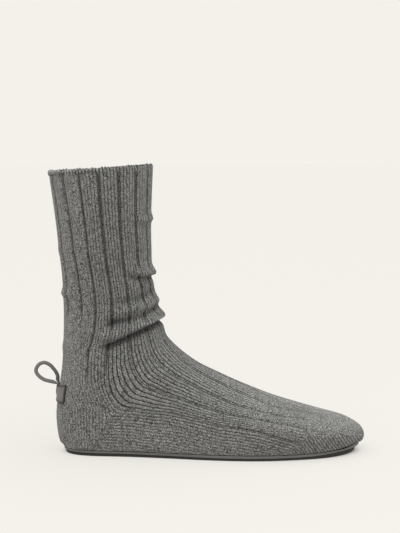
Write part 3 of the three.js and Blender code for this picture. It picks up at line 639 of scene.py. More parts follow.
# Everything about the outer face of the knit, on a grid of sections and angles
def knitField():
    places = []
    for section, rows in enumerate(knit["rowsBetween"]):
        places += [section + k / rows for k in range(rows)]
    places = np.array(places + [float(collarSection)])
    angles = np.linspace(-180, 180, knit["columns"] + 1)
    form = np.array([ringPoints(sectionAt(p), angles) for p in places])
    closed = np.where((places <= toeSection) | (places >= heelSection))[0]
    normals = gridNormals(form, closed)
    wales, isTop = np.zeros(form.shape[:2]), np.zeros(form.shape[:2], bool)
    for i, p in enumerate(places):
        wales[i], isTop[i] = ringWales(p, angles, form[i])
    # on the toe cap the wales run straight on instead of closing up
    arcs = np.cumsum(np.linalg.norm(np.diff(form, axis=1, prepend=form[:, :1]), axis=-1), axis=1)
    arcs -= arcs[:, [knit["columns"] // 2]]
    straight = topWale + arcs / knit["toeTopWaleWidth"]
    cap = ramp(places, *spans["toeCap"])[:, None]
    wales = np.where(isTop, wales + (straight - wales) * cap, wales)
    steps = np.linalg.norm(np.diff(form, axis=0, prepend=form[:1]), axis=-1)
    travel = np.cumsum(steps, axis=0)
    travel -= travel[int(np.argmin(np.abs(places - shaftSection)))]
    topCourses = travel / knit["courseHeight"]
    sideWales, sideCourses, isLevel = heelWales(form)[1:]
    outer = form[..., 1] < 0
    sideWales = np.where(outer, outerEdgeWale - sideWales, innerEdgeWale + sideWales)
    byToeWales, byToeCourses = toeWales(form)
    away = np.abs(angles)[None, :]
    hatchEnd = knit["toeHatchEnd"] - (180 - away) / knit["toeHatchLean"]
    lowToe = (away > knit["toeHatchAngle"]) & (places[:, None] < hatchEnd)
    fields = {
        "top": (wales, topCourses), "level": (sideWales, sideCourses),
        "upright": (sideWales, sideCourses), "toe": (byToeWales, byToeCourses),
    }
    zone = np.where(isTop | (places >= shaftSection)[:, None], "top", np.where(isLevel, "level", "upright"))
    zone = np.where(lowToe, "toe", zone)
    return places, angles, form, normals, wales, fields, zone


# How deep each furrow is and how much the ribs swell between them, and how strongly each furrow shows in
# painted shade
def reliefOf(places, angles, form, wales, keep):
    phase = wales / knit["walesPerRib"]
    nearest = np.round(phase)
    height = form[..., 2]
    row = places[:, None] + 0 * phase
    onFoot = ramp(row, *spans["footFurrows"])
    byHeel = ramp(height, *spans["heelFurrows"])
    byAnkle = ramp(height, *spans["ankleFurrows"])
    strength = np.where((nearest >= 3) & (nearest <= 11), onFoot, byAnkle)
    strength = np.where((nearest == 2) | (nearest == 12), byHeel, strength)
    swell = np.where((phase > 3) & (phase < 11), onFoot, byAnkle)
    swell = np.where(((phase <= 3) & (phase > 2)) | ((phase >= 11) & (phase < 12)), byHeel, swell)
    shaftShare = ramp(row, *spans["shaftFurrows"])
    bend = ramp(row, *spans["bend"]) * (1 - shaftShare)
    border = (nearest == 3) | (nearest == 11)
    ahead = ramp(form[..., 0], *spans["borderAhead"])
    onBorder = ramp(height, *spans["lowBorder"])
    onBorder = knit["borderStrength"] + (1 - knit["borderStrength"]) * np.maximum(onBorder, ahead)
    strength = strength * keep * np.where(border, onBorder, 1)
    onTop = ramp(np.abs(angles[None, :]), *spans["topOfFoot"])
    least = knit["footStrength"]
    shown = least + (1 - least) * np.maximum(shaftShare, onTop)
    shown = strength * shown * (1 - np.where(border, 0.0, knit["bendLoss"]) * bend)
    half = knit["footGrooveHalf"] + (knit["grooveHalf"] - knit["footGrooveHalf"]) * shaftShare
    deep = knit["footGrooveDepth"] + (knit["grooveDepth"] - knit["footGrooveDepth"]) * shaftShare
    furrow = strength * np.exp(-(((phase - nearest) / half) ** 2))
    most = knit["ribSwell"] * (knit["footSwell"] + (1 - knit["footSwell"]) * shaftShare)
    swelling = most * swell * (np.sin(math.pi * phase) ** 2 - 0.4)
    return swelling - deep * furrow, shown


# How clearly single wales show, in their painted shade and highlight and in relief: most where the knit is
# stretched round the bend of the foot
def waleContrast(places, angles, form, wales, zone):
    row = places[:, None] + 0 * wales
    away = np.abs(angles)[None, :]
    onShaft = ramp(away, *spans["frontOfShaft"])
    beyond = np.maximum(0, np.maximum(outerEdgeWale - wales, wales - innerEdgeWale))
    bySole = knit["sideContrast"] + knit["edgeContrast"] * np.exp(-beyond / knit["edgeReach"])
    onTop = ramp(row, *spans["footContrast"])
    onFoot = np.where(beyond > 0, bySole, onTop) * ramp(row, *spans["toeContrast"])
    hatch = ramp(away, *spans["underToe"]) * ramp(away, *spans["toeHatch"])
    onFoot = np.where(zone == "toe", hatch, onFoot)
    byHeight = np.maximum(ramp(form[..., 2], *spans["ankleContrast"]), 0.5)
    return onFoot + (onShaft - onFoot) * ramp(row, *spans["shaftContrast"]) * byHeight


def makeKnit(material):
    places, angles, form, normals, wales, fields, zone = knitField()
    out, fall, folded, dark = foldPush(form)
    stretched = effects["ridgeLoss"] * smooth(folded / effects["ridgeOver"])
    trough = smooth(-folded / effects["troughOver"])
    relief, strength = reliefOf(places, angles, form, wales, 1 - stretched)
    offFurrow = (wales / knit["walesPerRib"] + 0.5) % 1 - 0.5
    pinch = trough * np.exp(-(offFurrow / knit["pinchHalf"]) ** 2)
    out = out - knit["pinchDepth"] * pinch
    edgeFade = smooth((form[..., 2] - feather - springAt(form[..., 0])) / 4)
    edgeFade = np.where(((places <= toeSection) | (places >= heelSection + 0.5))[:, None], 1, edgeFade)
    outer = form + normals * (relief * edgeFade + out)[..., None]
    outer[..., 2] -= fall
    outer[-1, :, 2] = form[-1, :, 2] - knit["rimDrop"]

    last = len(places) - 1
    kept = [i for i in range(last) if i % knit["innerEvery"] == 0 and places[i] >= 1]
    innerRows = [last] + kept[::-1]
    level = feather + springAt(form[..., 0])
    flatten = smooth(1 - (form[..., 2] - level) / (2 * knit["wall"]))
    inward = normals.copy()
    inward[..., 2] *= 1 - flatten
    inward /= np.maximum(np.linalg.norm(inward, axis=-1, keepdims=True), 1e-9)
    follow = knit["innerRelief"] * relief * edgeFade + np.where(out < 0, out, knit["innerFold"] * out)
    inner = form - inward * knit["wall"] + normals * follow[..., None]
    inner[..., 2] -= knit["innerFall"] * fall
    inner[-1, :, 2] = form[-1, :, 2] - knit["rimDrop"]
    inner = inner[innerRows]
    tip = np.repeat(inner[-1:].mean(axis=1, keepdims=True), inner.shape[1], axis=1)
    sheet = np.concatenate([outer, inner, tip])
    sourceRow = list(range(len(places))) + innerRows + innerRows[-1:]
    # painted highlight on the ridges of the folds, and painted shade in their troughs and in creases that close
    lighter = effects["ridgeLight"] * smooth(folded / effects["lightOver"])
    crease = np.maximum(effects["troughShade"] * trough - lighter, dark)
    contrast = waleContrast(places, angles, form, wales, zone) * (1 - effects["creaseLoss"] * dark)
    shades = np.stack([strength, crease, contrast], -1)
    inside = np.array(knit["insideShade"])

    rows, columns = sheet.shape[0] - 1, sheet.shape[1] - 1
    bm = newGrid(columns, rows)
    uv = bm.loops.layers.uv.new("knit")
    shadeAttribute = bm.verts.layers.float_vector.new("knitPaintedShade")
    rowOf = bm.verts.layers.int.new("rowOf")
    columnOf = bm.verts.layers.int.new("columnOf")
    for vert in bm.verts:
        i, j = round((vert.co.y + 0.5) * rows), round((vert.co.x + 0.5) * columns)
        vert[rowOf], vert[columnOf] = i, j
        vert.co = place(sheet[i, j])
        shade = shades[sourceRow[i], j]
        vert[shadeAttribute] = Vector(shade if i < len(places) else shade * inside)
    for face in bm.faces:
        cells = [(sourceRow[loop.vert[rowOf]], loop.vert[columnOf]) for loop in face.loops]
        zones = [zone[i, j] for i, j in cells]
        field = max(sorted(set(zones)), key=zones.count)
        for loop, (i, j) in zip(face.loops, cells):
            loop[uv].uv = (fields[field][0][i, j], fields[field][1][i, j])
    bmesh.ops.remove_doubles(bm, verts=bm.verts, dist=2e-6)
    rims = [edge for edge in bm.edges if edge.is_boundary]
    bmesh.ops.bridge_loops(bm, edges=rims)
    finishPiece("knit_upper", bm, material, "knit", "upper")


# The knit's yarn: light and dark plies twisted together, in small V-shaped stitches, and how dark the painted
# shade is in its furrows, creases and between its wales
yarn = {
    "dark": (0.020, 0.020, 0.018, 1.0),
    "light": (0.308, 0.308, 0.297, 1.0),
    "middle": 0.40,           # share of the light ply
    "plyMix": 0.30,           # how much single stitches differ
    "twistMix": 2.0,
    "fibreMix": 4.4,
    "furrowShade": 0.86,
    "shaftLighter": 0.14,     # how much less painted shade the wide furrows of the shaft get
    "creaseShade": 0.86,
    "waleShade": 0.88,        # painted shade between two wales where they show most
    "legLean": 0.55,          # how far a stitch's legs run down to the sides, in courses
    "twistAcross": 2.2,       # turns of the plies, by wale and by course
    "twistAlong": 1.6,
    "fibreScale": 1180.0,
    "cloudScale": 38.0,
    "bumpDistance": 0.0009,
}


def knitMaterial():
    material, start = startMaterial("marledKnit")
    uv = start.node("ShaderNodeUVMap", {"uv_map": "knit"})
    parts = uv.node("ShaderNodeSeparateXYZ", None, {"Vector": uv})
    wale, course = parts.output("X"), parts.output("Y")
    # how much painted shade the furrows, creases and wales get, kept with each point of the knit
    shadeAttribute = start.node("ShaderNodeAttribute", {"attribute_name": "knitPaintedShade"}, output="Vector")
    shadeParts = shadeAttribute.node("ShaderNodeSeparateXYZ", None, {"Vector": shadeAttribute})
    strength, crease, contrast = shadeParts.output("X"), shadeParts.output("Y"), shadeParts.output("Z")
    solid = start.node("ShaderNodeTexCoord", output="Object")

    # each wale is a soft column, and its stitches are pairs of slanting legs
    across = (wale + 0.5).math("FRACT") - 0.5
    away = across.math("ABSOLUTE") * 2
    leg = course - away * yarn["legLean"]
    wave = (leg * (2 * math.pi)).math("COSINE") * 0.5 + 0.5
    column = 1 - away**2.4
    # painted shade: a dark line between two wales, and a fainter one where the legs meet
    between = (away ** 1.6).step(0.38, 1.0) + (1 - away.step(0.0, 0.28)) * 0.32
    # painted shade in the furrow between two ribs
    rib = wale * (1 / knit["walesPerRib"]) + 0.5
    offFurrow = (rib.math("FRACT") - 0.5) * knit["walesPerRib"]
    furrowHalf = strength**4 * 0.45 + 0.14
    furrow = 1 - (offFurrow.math("ABSOLUTE") / furrowHalf).step(0.16, 1.0)
    furrow = furrow * strength.step(0.0, 0.7)
    legX = (wale * 2).math("FLOOR")
    legY = leg.math("FLOOR")
    cell = start.node("ShaderNodeCombineXYZ", None, {0: legX, 1: legY})
    ply = start.node("ShaderNodeTexWhiteNoise", {"noise_dimensions": "3D"}, {"Vector": cell}, output="Value")
    turns = {0: wale * yarn["twistAcross"], 1: leg * yarn["twistAlong"]}
    twist = start.node("ShaderNodeCombineXYZ", None, turns).noise(1.6, 3.0, 0.65)
    fibre = solid.noise(yarn["fibreScale"], 2.0, 0.65)
    cloud = solid.noise(yarn["cloudScale"], 2.0, 0.5)

    mixed = (ply - 0.5) * yarn["plyMix"] + (twist - 0.5) * yarn["twistMix"]
    mixed = mixed + (fibre - 0.5) * (1 - contrast * 0.5) * yarn["fibreMix"]
    # each wale is painted lighter along its middle and darker at its sides, as light falls on a round column
    mixed = mixed + yarn["middle"] + (column - 0.82) * contrast * 0.35
    colour = mixed.mix(yarn["dark"], yarn["light"])
    # painted shade in the furrows and in the creases of the folds, and a painted highlight on fold ridges; the
    # clouds are the yarn's uneven tone
    furrowShade = yarn["furrowShade"] - strength**4 * yarn["shaftLighter"]
    shade = (1 - furrow * furrowShade) * (1 - crease * yarn["creaseShade"]) * (0.92 + cloud * 0.16)
    # painted shade between the wales
    colour = colour.times(shade * (1 - between * contrast * yarn["waleShade"]))
    height = column * (0.25 + contrast * 0.75) + wave * column * 0.35 + fibre * 0.3
    woolSurface = {"Roughness": 0.95, "Sheen Weight": 0.15, "Sheen Roughness": 0.5, "Specular IOR Level": 0.2}
    setSurface(material, woolSurface, {"Base Color": colour, "Normal": height.bump(0.9, yarn["bumpDistance"])})
    return material


woolly = knitMaterial()
makeKnit(woolly)

# The bound-off edge of the collar: a ring of small beads, one on each wale
collar = {
    "halfWide": 1.8,
    "halfHigh": 2.4,
    "rise": -1.9,
    "bead": 0.55,             # how much narrower the ring is between beads
    "slant": 0.25,
    "outward": -0.5,
    "backOutward": 0.9,
    "uneven": 0.35,
    "gapShade": 0.75,
    "course": 150,            # its yarn's first course, and how many each side of the ring takes
    "coursesPerSide": 0.28,
    "stepsPerBead": 8,
    "sides": 14,
}


def makeCollarEdge():
    beads = knit["ribs"] * knit["walesPerRib"]
    around, sides = beads * collar["stepsPerBead"], collar["sides"]
    angles = np.linspace(-180, 180, around + 1)
    rim = ringPoints(sectionAt(collarSection), angles)
    middle = rim.mean(axis=0)
    wales = ringWales(collarSection, angles, rim)[0]
    outward = rim - middle
    outward[:, 2] = 0
    outward /= np.linalg.norm(outward, axis=1, keepdims=True)
    outwards = collar["outward"] + collar["backOutward"] * smooth(0.5 - outward[:, :1])
    core = rim - outward * (knit["wall"] / 2 - outwards)
    core[:, 2] += collar["rise"]
    lifts = np.random.default_rng(7).normal(0, collar["uneven"], beads)
    bm = newGrid(around, sides)
    uv = bm.loops.layers.uv.new("knit")
    shadeAttribute = bm.verts.layers.float_vector.new("knitPaintedShade")
    for face in bm.faces:
        for loop in face.loops:
            i, j = round((loop.vert.co.x + 0.5) * around), (loop.vert.co.y + 0.5) * sides
            loop[uv].uv = (wales[i], collar["course"] + j * collar["coursesPerSide"])
    for vert in bm.verts:
        i = round((vert.co.x + 0.5) * around)
        turn = 2 * math.pi * (vert.co.y + 0.5)
        bead = abs(math.cos(math.pi * (wales[i] + collar["slant"] * math.sin(turn)))) ** 0.7
        size = 1 - collar["bead"] + collar["bead"] * bead
        spot = core[i] + outward[i] * (collar["halfWide"] * size * math.cos(turn))
        spot[2] += collar["halfHigh"] * size * math.sin(turn) + lifts[round(wales[i]) % beads] * bead
        vert.co = place(spot)
        # painted shade under the beads and in the gaps between them; the ring is painted lighter all round,
        # most at the back where it faces away from the light
        shade = max(0.5 * smooth(-0.3 - math.sin(turn)), collar["gapShade"] * (1 - bead))
        shade -= 0.2 + 0.3 * float(smooth(-1.2 * outward[i][0]))
        vert[shadeAttribute] = Vector((0.0, shade, 0.8))
    bmesh.ops.remove_doubles(bm, verts=bm.verts, dist=2e-6)
    finishPiece("collar_edge", bm, woolly, "knit")


makeCollarEdge()

# The flat layers of the sole. Start and run, by x, say where they reach on and rise at the toe and heel.
layers = {
    "stations": 96,
    "across": 22,
    "reachOver": (205.0, 52.0),
    "toeOver": (205.0, 30.0),
    "heelOver": (140.0, -110.0),
    "heelShift": (60.0, -60.0, 0.0, 1.2),
    "outsole": {"inset": 1.5, "bottom": 0.0, "thickness": 2.0, "bevel": 0.35, "reach": 1.3, "springShare": 0.45,
                "underToe": 0.0, "underHeel": 0.0, "topToe": 0.7, "topHeel": 0.5, "tipOver": (205.0, 30.0)},
    "midsole": {"inset": 0.0, "bottom": 2.3, "thickness": 2.0, "bevel": 0.45, "reach": 3.4, "springShare": 1.0,
                "underToe": 0.7, "underHeel": 0.5, "topToe": 1.5, "topHeel": 0.0, "tipOver": (237.0, 13.0)},
    "insole": {"inset": 4.2, "bottom": 4.6, "thickness": 2.8, "bevel": 1.0, "reach": 0.0, "springShare": 1.0,
               "underToe": 0.0, "underHeel": 0.0, "topToe": 0.0, "topHeel": 0.0, "tipOver": (205.0, 30.0)},
}


def makeLayer(name, material, slot, node):
    size = layers[node]

    def underside(x):
        level = size["bottom"] + size["springShare"] * springAt(x)
        level += size["underToe"] * ramp(x, *layers["toeOver"])
        return level + size["underHeel"] * ramp(x, *layers["heelOver"])

    def topside(x):
        level = size["bottom"] + size["thickness"] + springAt(x)
        level += size["topToe"] * ramp(x, *size["tipOver"])
        return level + size["topHeel"] * ramp(x, *layers["heelOver"])

    bm = newGrid(layers["stations"], layers["across"])
    for vert in bm.verts:
        x, centre, width = soleOutline(min(max(vert.co.x + 0.5, 0), 1), size["inset"])
        x += size["reach"] * ramp(x, *layers["reachOver"])
        x += ramp(x, *layers["heelShift"])
        vert.co = place((x, centre + 2 * vert.co.y * width, underside(x)))
    bmesh.ops.remove_doubles(bm, verts=bm.verts, dist=2e-5)
    raised = bmesh.ops.extrude_face_region(bm, geom=bm.faces[:])["geom"]
    for part in raised:
        if isinstance(part, bmesh.types.BMVert):
            part.co.z = topside(part.co.x * 1000 + middleX) / 1000
    roundRims(bm, size["bevel"])
    finishPiece(name, bm, material, slot, node)


tread = {"pitch": 0.0036, "slant": 0.6}   # in metres, and the slope of its ribs


def rubberMaterial():
    turns, slant = 2 * math.pi / tread["pitch"], tread["slant"]
    material, start = startMaterial("blackRubber")
    solid = start.node("ShaderNodeTexCoord", output="Object")
    parts = solid.node("ShaderNodeSeparateXYZ", None, {"Vector": solid})
    x, y = parts.output("X"), parts.output("Y")
    grain = solid.noise(900.0, 3.0, 0.6)
    wear = solid.noise(45.0, 3.0, 0.6)
    # the tread is a field of fine slanting ribs in two directions
    first, second = ((way * turns).math("SINE") for way in (x + y * slant, x - y * slant))
    facing = start.node("ShaderNodeNewGeometry", output="Normal")
    down = facing.node("ShaderNodeSeparateXYZ", None, {"Vector": facing}).output("Z") * -1
    under = down.step(0.7, 0.95)
    ribs = first.math("MAXIMUM", second).step(-0.2, 0.5) * under
    colour = (grain * 0.6 + wear * 0.4).mix((0.008, 0.008, 0.008, 1), (0.026, 0.025, 0.024, 1))
    height = ribs * 0.8 + grain * 0.12
    setSurface(material, {"Specular IOR Level": 0.4},
               {"Base Color": colour, "Roughness": 0.62 + wear * 0.2, "Normal": height.bump(0.7, 0.0006)})
    return material


# Finishes without a pattern: grain as scale, detail and roughness of a noise, and clouds between two colours
finishes = {
    "edgeLeather": {"grain": (1100.0, 4.0, 0.6), "clouds": 60.0, "cloudShare": 0.55, "bump": (0.25, 0.0003),
                    "dark": (0.050, 0.049, 0.047, 1), "light": (0.115, 0.113, 0.109, 1),
                    "surface": {"Specular IOR Level": 0.5}, "roughness": (0.38, 0.2)},
    "feltFootbed": {"grain": (1300.0, 4.0, 0.7), "clouds": 50.0, "cloudShare": 0.3, "bump": (0.6, 0.0005),
                    "dark": (0.050, 0.048, 0.045, 1), "light": (0.150, 0.147, 0.140, 1),
                    "surface": {"Roughness": 0.95, "Sheen Weight": 0.3}},
    "greyThread": {"grain": (1800.0, 3.0, 0.6), "clouds": 50.0, "cloudShare": 0.0, "bump": (0.4, 0.0002),
                   "dark": (0.10, 0.098, 0.094, 1), "light": (0.24, 0.235, 0.225, 1),
                   "surface": {"Roughness": 0.75}},
}


def plainMaterial(name):
    finish = finishes[name]
    material, start = startMaterial(name)
    solid = start.node("ShaderNodeTexCoord", output="Object")
    grain = solid.noise(*finish["grain"])
    fine = grain
    if finish["cloudShare"]:
        fine = grain * (1 - finish["cloudShare"]) + solid.noise(finish["clouds"]) * finish["cloudShare"]
    varying = {"Base Color": fine.mix(finish["dark"], finish["light"]), "Normal": grain.bump(*finish["bump"])}
    if "roughness" in finish:
        least, more = finish["roughness"]
        varying["Roughness"] = least + fine * more
    setSurface(material, finish["surface"], varying)
    return material


makeLayer("rubber_outsole", rubberMaterial(), "sole_rubber", "outsole")
makeLayer("sole_edge", plainMaterial("edgeLeather"), "sole_edge", "midsole")
makeLayer("felt_insole", plainMaterial("feltFootbed"), "footbed", "insole")


# The point of the knit's back at a distance from the centre plane and a height, by Newton's method
def backOfKnit(y, z):
    side = -1 if y < 0 else 1
    wanted = max(abs(y), 1e-3)
    where, angle, small = 19.0, 180 - 18 * abs(y) / heel, 1e-3

    def find(p, a):
        return ringPoints(sectionAt(p), [side * min(a, 180.0)])[0]

    for _ in range(24):
        point = find(where, angle)
        overPlace = (find(where + small, angle) - point) / small
        overAngle = (find(where, angle - 0.1) - point) / -0.1
        missY, missZ = side * wanted - point[1], z - point[2]
        scale = overPlace[1] * overAngle[2] - overPlace[2] * overAngle[1]
        where += (missY * overAngle[2] - missZ * overAngle[1]) / scale
        angle = min(179.9, angle + (overPlace[1] * missZ - overPlace[2] * missY) / scale)
    return find(where, angle)


# The heel tab and its stitches
tab = {
    "width": 42.0,
    "height": 12.6,
    "sideRise": 3.2,
    "thickness": 1.0,
    "bottom": 42.6,
    "gap": 0.3,
    "tailThickness": 0.7,
    "tailWidth": 4.4,
    "tailLength": 5.0,
    "bulgeHalf": 7.0,
    "bulgeFade": 2.2,
    "columns": 56,
    "rows": 20,
    "cornerRadius": 1.6,
    "bevel": 0.28,
    "channelHalf": 0.55,      # of the pressed line that the stitches lie in
    "channelDepth": 0.16,
    "stitchInset": 1.7,
    "stitchLength": 1.7,
    "stitchPitch": 2.25,
    "stitchRadius": 0.27,
    "stitchSunk": 0.05,       # into the leather
    "stitchOver": 0.1,        # that each end reaches on
    "aroundHeel": 1.13,       # the tab's length round the heel as a share of its width
}
tabTop = tab["bottom"] + tab["height"]


def tailRoom(y, z):
    across = smooth((tab["bulgeHalf"] - abs(y)) / tab["bulgeFade"])
    down = smooth((z - (tabTop - tab["tailLength"] - tab["tailWidth"])) / tab["tailWidth"])
    return (tab["tailThickness"] + tab["gap"]) * across * down


# How far a spot on the tab is from the centre plane, and its height: side from -1 to 1, up from 0 to 1
def tabSpot(side, up):
    z = tab["bottom"] + (tab["height"] + tab["sideRise"] * side * side) * up
    return side * tab["width"] / 2, z


skinColumns, skinRows = 24, 10
skinGrid = np.array([
    [backOfKnit(*tabSpot(2 * j / skinColumns - 1, i / skinRows)) for j in range(skinColumns + 1)]
    for i in range(skinRows + 1)
])
skinNormals = np.cross(np.gradient(skinGrid, axis=1), np.gradient(skinGrid, axis=0))
skinNormals[skinNormals[..., 0] > 0] *= -1
skinNormals[..., 2] = 0
skinNormals /= np.linalg.norm(skinNormals, axis=-1, keepdims=True)


def onTab(side, up, lift):
    a, b = (side + 1) / 2 * skinColumns, up * skinRows
    j, i = min(int(a), skinColumns - 1), min(int(b), skinRows - 1)
    s, t = a - j, b - i

    def blend(grid):
        return ((grid[i, j] * (1 - s) + grid[i, j + 1] * s) * (1 - t)
                + (grid[i + 1, j] * (1 - s) + grid[i + 1, j + 1] * s) * t)

    point, normal = blend(skinGrid), blend(skinNormals)
    normal = normal / np.linalg.norm(normal)
    return point + normal * (tab["gap"] + tailRoom(point[1], point[2]) + lift), normal


# Rounds the corners of the tab's square outline
def roundCorners(side, up):
    halfWide, halfHigh, radius = tab["width"] / 2, tab["height"] / 2, tab["cornerRadius"]
    x, y = side * halfWide, (2 * up - 1) * halfHigh
    overX, overY = abs(x) - (halfWide - radius), abs(y) - (halfHigh - radius)
    if overX > 0 and overY > 0:
        larger = max(overX, overY)
        scale = larger / math.hypot(overX, overY)
        x = math.copysign(halfWide - radius + overX * scale, x)
        y = math.copysign(halfHigh - radius + overY * scale, y)
    return x / halfWide, (y / halfHigh + 1) / 2


def makeTab(material):
    bm = newGrid(tab["columns"], tab["rows"])
    rim = bm.verts.layers.float.new("tabEdgePaintAndShade")
    raised = bmesh.ops.extrude_face_region(bm, geom=bm.faces[:])["geom"]
    lifted = {part for part in raised if isinstance(part, bmesh.types.BMVert)}
    for vert in bm.verts:
        side, up = roundCorners(2 * vert.co.x, vert.co.y + 0.5)
        edge = min((1 - abs(side)) * tab["width"] / 2, (0.5 - abs(up - 0.5)) * tab["height"])
        channel = math.exp(-(((edge - tab["stitchInset"]) / tab["channelHalf"]) ** 2))
        lift = tab["thickness"] - tab["channelDepth"] * channel if vert in lifted else 0
        # the rim is darkest at the tab's edge, partly the leather's dark edge paint and partly painted shade
        # along the edge and its gap to the knit; the pressed stitch channel is darker too
        vert[rim] = max(float(smooth(1.5 - edge / 1.3)), 0.45 * channel)
        vert.co = place(onTab(side, up, lift)[0])
    roundRims(bm, tab["bevel"])
    finishPiece("leather_tab", bm, material, "tab_leather", "heel_tab")


# A number for a face from its corners. The faces of a sphere come in another order each run, so they
# are sorted by it.
def byCorners(face):
    return sum(corner * 10000**k for k, corner in enumerate(sorted(vert.index for vert in face.verts)))


def makeStitches(material):
    inset = tab["stitchInset"]
    side, up = 1 - inset / (tab["width"] / 2), inset / tab["height"]
    corners = [(-side, up), (side, up), (side, 1 - up), (-side, 1 - up), (-side, up)]
    bm = bmesh.new()
    for (fromSide, fromUp), (toSide, toUp) in zip(corners[:-1], corners[1:]):
        first, last = onTab(fromSide, fromUp, 0)[0], onTab(toSide, toUp, 0)[0]
        run = abs(toSide - fromSide) * tab["width"] / 2 * tab["aroundHeel"] + abs(last[2] - first[2])
        number = max(1, round(run / tab["stitchPitch"]))
        for k in range(number):
            share = (k + 0.5) / number
            half = tab["stitchLength"] / 2 / run
            ends = []
            for part in (share - half, share + half):
                spot, normal = onTab(fromSide + (toSide - fromSide) * part, fromUp + (toUp - fromUp) * part,
                                     tab["thickness"] - tab["stitchSunk"])
                ends.append(spot)
            direction = ends[1] - ends[0]
            reach = np.linalg.norm(direction)
            direction /= reach
            across = np.cross(direction, normal)
            made = bmesh.ops.create_uvsphere(bm, u_segments=8, v_segments=6, radius=1.0)["verts"]
            middle = (ends[0] + ends[1]) / 2
            for vert in made:
                local = (direction * vert.co.z * (reach / 2 + tab["stitchOver"])
                         + across * vert.co.x * tab["stitchRadius"] + normal * vert.co.y * tab["stitchRadius"])
                vert.co = place(middle + local)
    bm.verts.index_update()
    bm.faces.sort(key=byCorners)
    finishPiece("tab_stitches", bm, material, "tab_leather")


def leatherMaterial():
    material, start = startMaterial("darkLeather")
    solid = start.node("ShaderNodeTexCoord", output="Object")
    rim = start.node("ShaderNodeAttribute", {"attribute_name": "tabEdgePaintAndShade"}, output="Fac")
    pebble = start.node("ShaderNodeTexVoronoi", {"feature": "SMOOTH_F1"},
                        {"Vector": solid, "Scale": 950.0, "Smoothness": 0.6}, output="Distance")
    grain = solid.noise(700.0, 4.0, 0.6)
    cloud = solid.noise(90.0, 2.0, 0.5)
    colour = (grain * 0.5 + cloud * 0.5).mix((0.058, 0.056, 0.053, 1), (0.140, 0.136, 0.130, 1))
    height = pebble * 0.6 + grain * 0.4
    # the tab's rim is darker: the leather's edge paint, and painted shade along the edge
    setSurface(material, {"Specular IOR Level": 0.5},
               {"Base Color": colour.times(1 - rim * 0.93), "Roughness": 0.42 + cloud * 0.18,
                "Normal": height.bump(0.35, 0.0003)})
    return material


leather = leatherMaterial()
makeTab(leather)
makeStitches(plainMaterial("greyThread"))

# The pull loop. Its table gives the way back and up as shares of its reach and rise, and the side.
loop = {"thickness": 3.1, "reach": 18.0, "rise": 18.0, "facetRoom": 0.05, "steps": 150, "sides": 18}
loopRows = [
    (0.020, 0.190, 1.00), (0.030, 0.390, 1.00), (0.140, 0.620, 0.80), (0.350, 0.880, 0.50),
    (0.600, 1.010, 0.20), (0.830, 0.955, 0.00), (0.980, 0.770, -0.20), (0.990, 0.580, -0.40),
    (0.840, 0.380, -0.60), (0.620, 0.240, -0.80), (0.400, 0.180, -1.00), (0.200, 0.135, -1.00),
]


def makeLoop(material):
    radius, strandSide = loop["thickness"] / 2, tab["tailWidth"] / 2 + tab["gap"]

    def tail(side, share):
        z = tabTop - tab["tailLength"] + share * (tab["tailLength"] + tab["gap"])
        skin = backOfKnit(side * strandSide, z)
        x = skin[0] - tab["gap"] - loop["facetRoom"] - tab["tailThickness"] / 2
        return (x, side * strandSide, z, tab["tailWidth"] / 2, tab["tailThickness"] / 2)

    stops = [tail(1, 0), tail(1, 0.5), tail(1, 1)]
    for back, up, side in loopRows:
        skin = backOfKnit(side * strandSide, tabTop + tab["gap"] + radius)
        stops.append((skin[0] - tab["gap"] - radius - back * loop["reach"], side * strandSide,
                      tabTop + up * loop["rise"], radius, radius))
    stops += [tail(-1, 1), tail(-1, 0.5), tail(-1, 0)]
    stopAt = curveOver(stops)
    last = len(stops) - 1
    bm = newGrid(loop["steps"], loop["sides"])
    for vert in bm.verts:
        at = (vert.co.x + 0.5) * last
        turn = 2 * math.pi * (vert.co.y + 0.5)
        x, y, z, wide, thick = stopAt(at)
        ahead = stopAt(min(last, at + 0.05))[:3] - stopAt(max(0, at - 0.05))[:3]
        ahead /= np.linalg.norm(ahead)
        across = np.array([0.0, 1.0, 0.0]) - ahead * ahead[1]
        across /= np.linalg.norm(across)
        out = np.cross(ahead, across)
        spot = np.array([x, y, z]) + across * wide * math.cos(turn) + out * thick * math.sin(turn)
        vert.co = place(spot)
    bmesh.ops.remove_doubles(bm, verts=bm.verts, dist=2e-6)
    ends = [edge for edge in bm.edges if edge.is_boundary]
    bmesh.ops.holes_fill(bm, edges=ends, sides=0)
    finishPiece("leather_loop", bm, material, "tab_leather", "pull_loop")


makeLoop(leather)
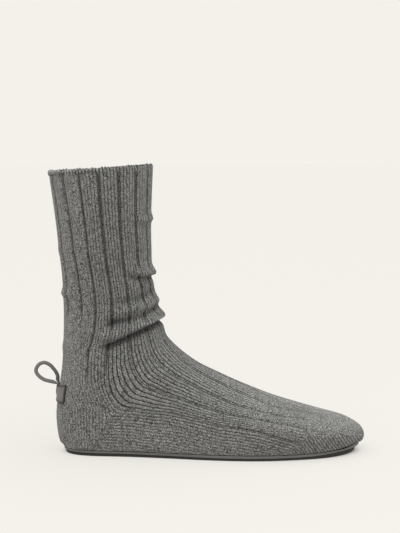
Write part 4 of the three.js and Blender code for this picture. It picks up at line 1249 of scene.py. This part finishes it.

# A pale floor, and soft studio light
studio = {
    "backdrop": (0.905, 0.879, 0.831),
    "floorShare": (0.496, 0.485, 0.462),   # of the light, so that the floor meets the backdrop unseen
    "floorGlow": 0.7,                      # keeps the shadow on the floor faint
    "paintedContactShadow": (0.01, 0.01, 0.01, 1.0),    # painted contact shadow: the floor's colour where the sole nearly touches it
    "contactReach": 0.018,                 # how far the painted contact shadow reaches, in metres
    "overhead": 2.3,                       # light from above, beside the backdrop's
    "front": {"at": (-250, -1500, 900), "size": 1.6, "power": 4.8},
    "low": {"at": (760, -1500, 420), "size": 1.4, "power": 6.2},
}


def makeFloor():
    bm = bmesh.new()
    bmesh.ops.create_grid(bm, x_segments=24, y_segments=24, size=40.0)
    mesh = bpy.data.meshes.new("studioFloor")
    bm.to_mesh(mesh)
    bm.free()
    material, start = startMaterial("paleFloor")
    glow = studio["floorGlow"]
    reach = {"Distance": studio["contactReach"]}
    # painted contact shadow: near the sole, ambient occlusion darkens the floor's colour and its glow
    lit = start.node("ShaderNodeAmbientOcclusion", {"samples": 16}, reach, output="AO").step(0.0, 0.5)
    base = lit.mix(studio["paintedContactShadow"], (*[share * (1 - glow) for share in studio["floorShare"]], 1.0))
    shine = lit.mix(studio["paintedContactShadow"], (*studio["backdrop"], 1.0))
    setSurface(material, {"Emission Strength": glow, "Roughness": 1.0, "Specular IOR Level": 0.0},
               {"Base Color": base, "Emission Color": shine})
    mesh.materials.append(material)
    floor = bpy.data.objects.new("studioFloor", mesh)
    bpy.context.scene.collection.objects.link(floor)


def makeLight(name, settings):
    data = bpy.data.lights.new(name, "AREA")
    data.shape = "DISK"
    data.size = settings["size"]
    data.energy = settings["power"]
    light = bpy.data.objects.new(name, data)
    light.location = place(settings["at"])
    aim = place((120, 0, 90)) - light.location
    light.rotation_euler = aim.to_track_quat("-Z", "Y").to_euler()
    bpy.context.scene.collection.objects.link(light)


# The sky is the backdrop's colour low down and brighter overhead
def makeSky():
    world = bpy.data.worlds.new("studioWorld")
    world.use_nodes = True
    start = Tone(world.node_tree)
    direction = start.node("ShaderNodeTexCoord", output="Generated")
    up = direction.node("ShaderNodeSeparateXYZ", None, {"Vector": direction}).output("Z")
    bright = tuple(studio["overhead"] for _ in range(3))
    colour = up.step(0.30, 0.90).mix((*studio["backdrop"], 1.0), (*bright, 1.0))
    world.node_tree.links.new(colour.socket, world.node_tree.nodes["Background"].inputs["Color"])
    bpy.context.scene.world = world


makeFloor()
makeLight("frontLight", studio["front"])
makeLight("lowLight", studio["low"])
makeSky()
bpy.context.scene.view_settings.view_transform = "Standard"
print("the studio is lit")
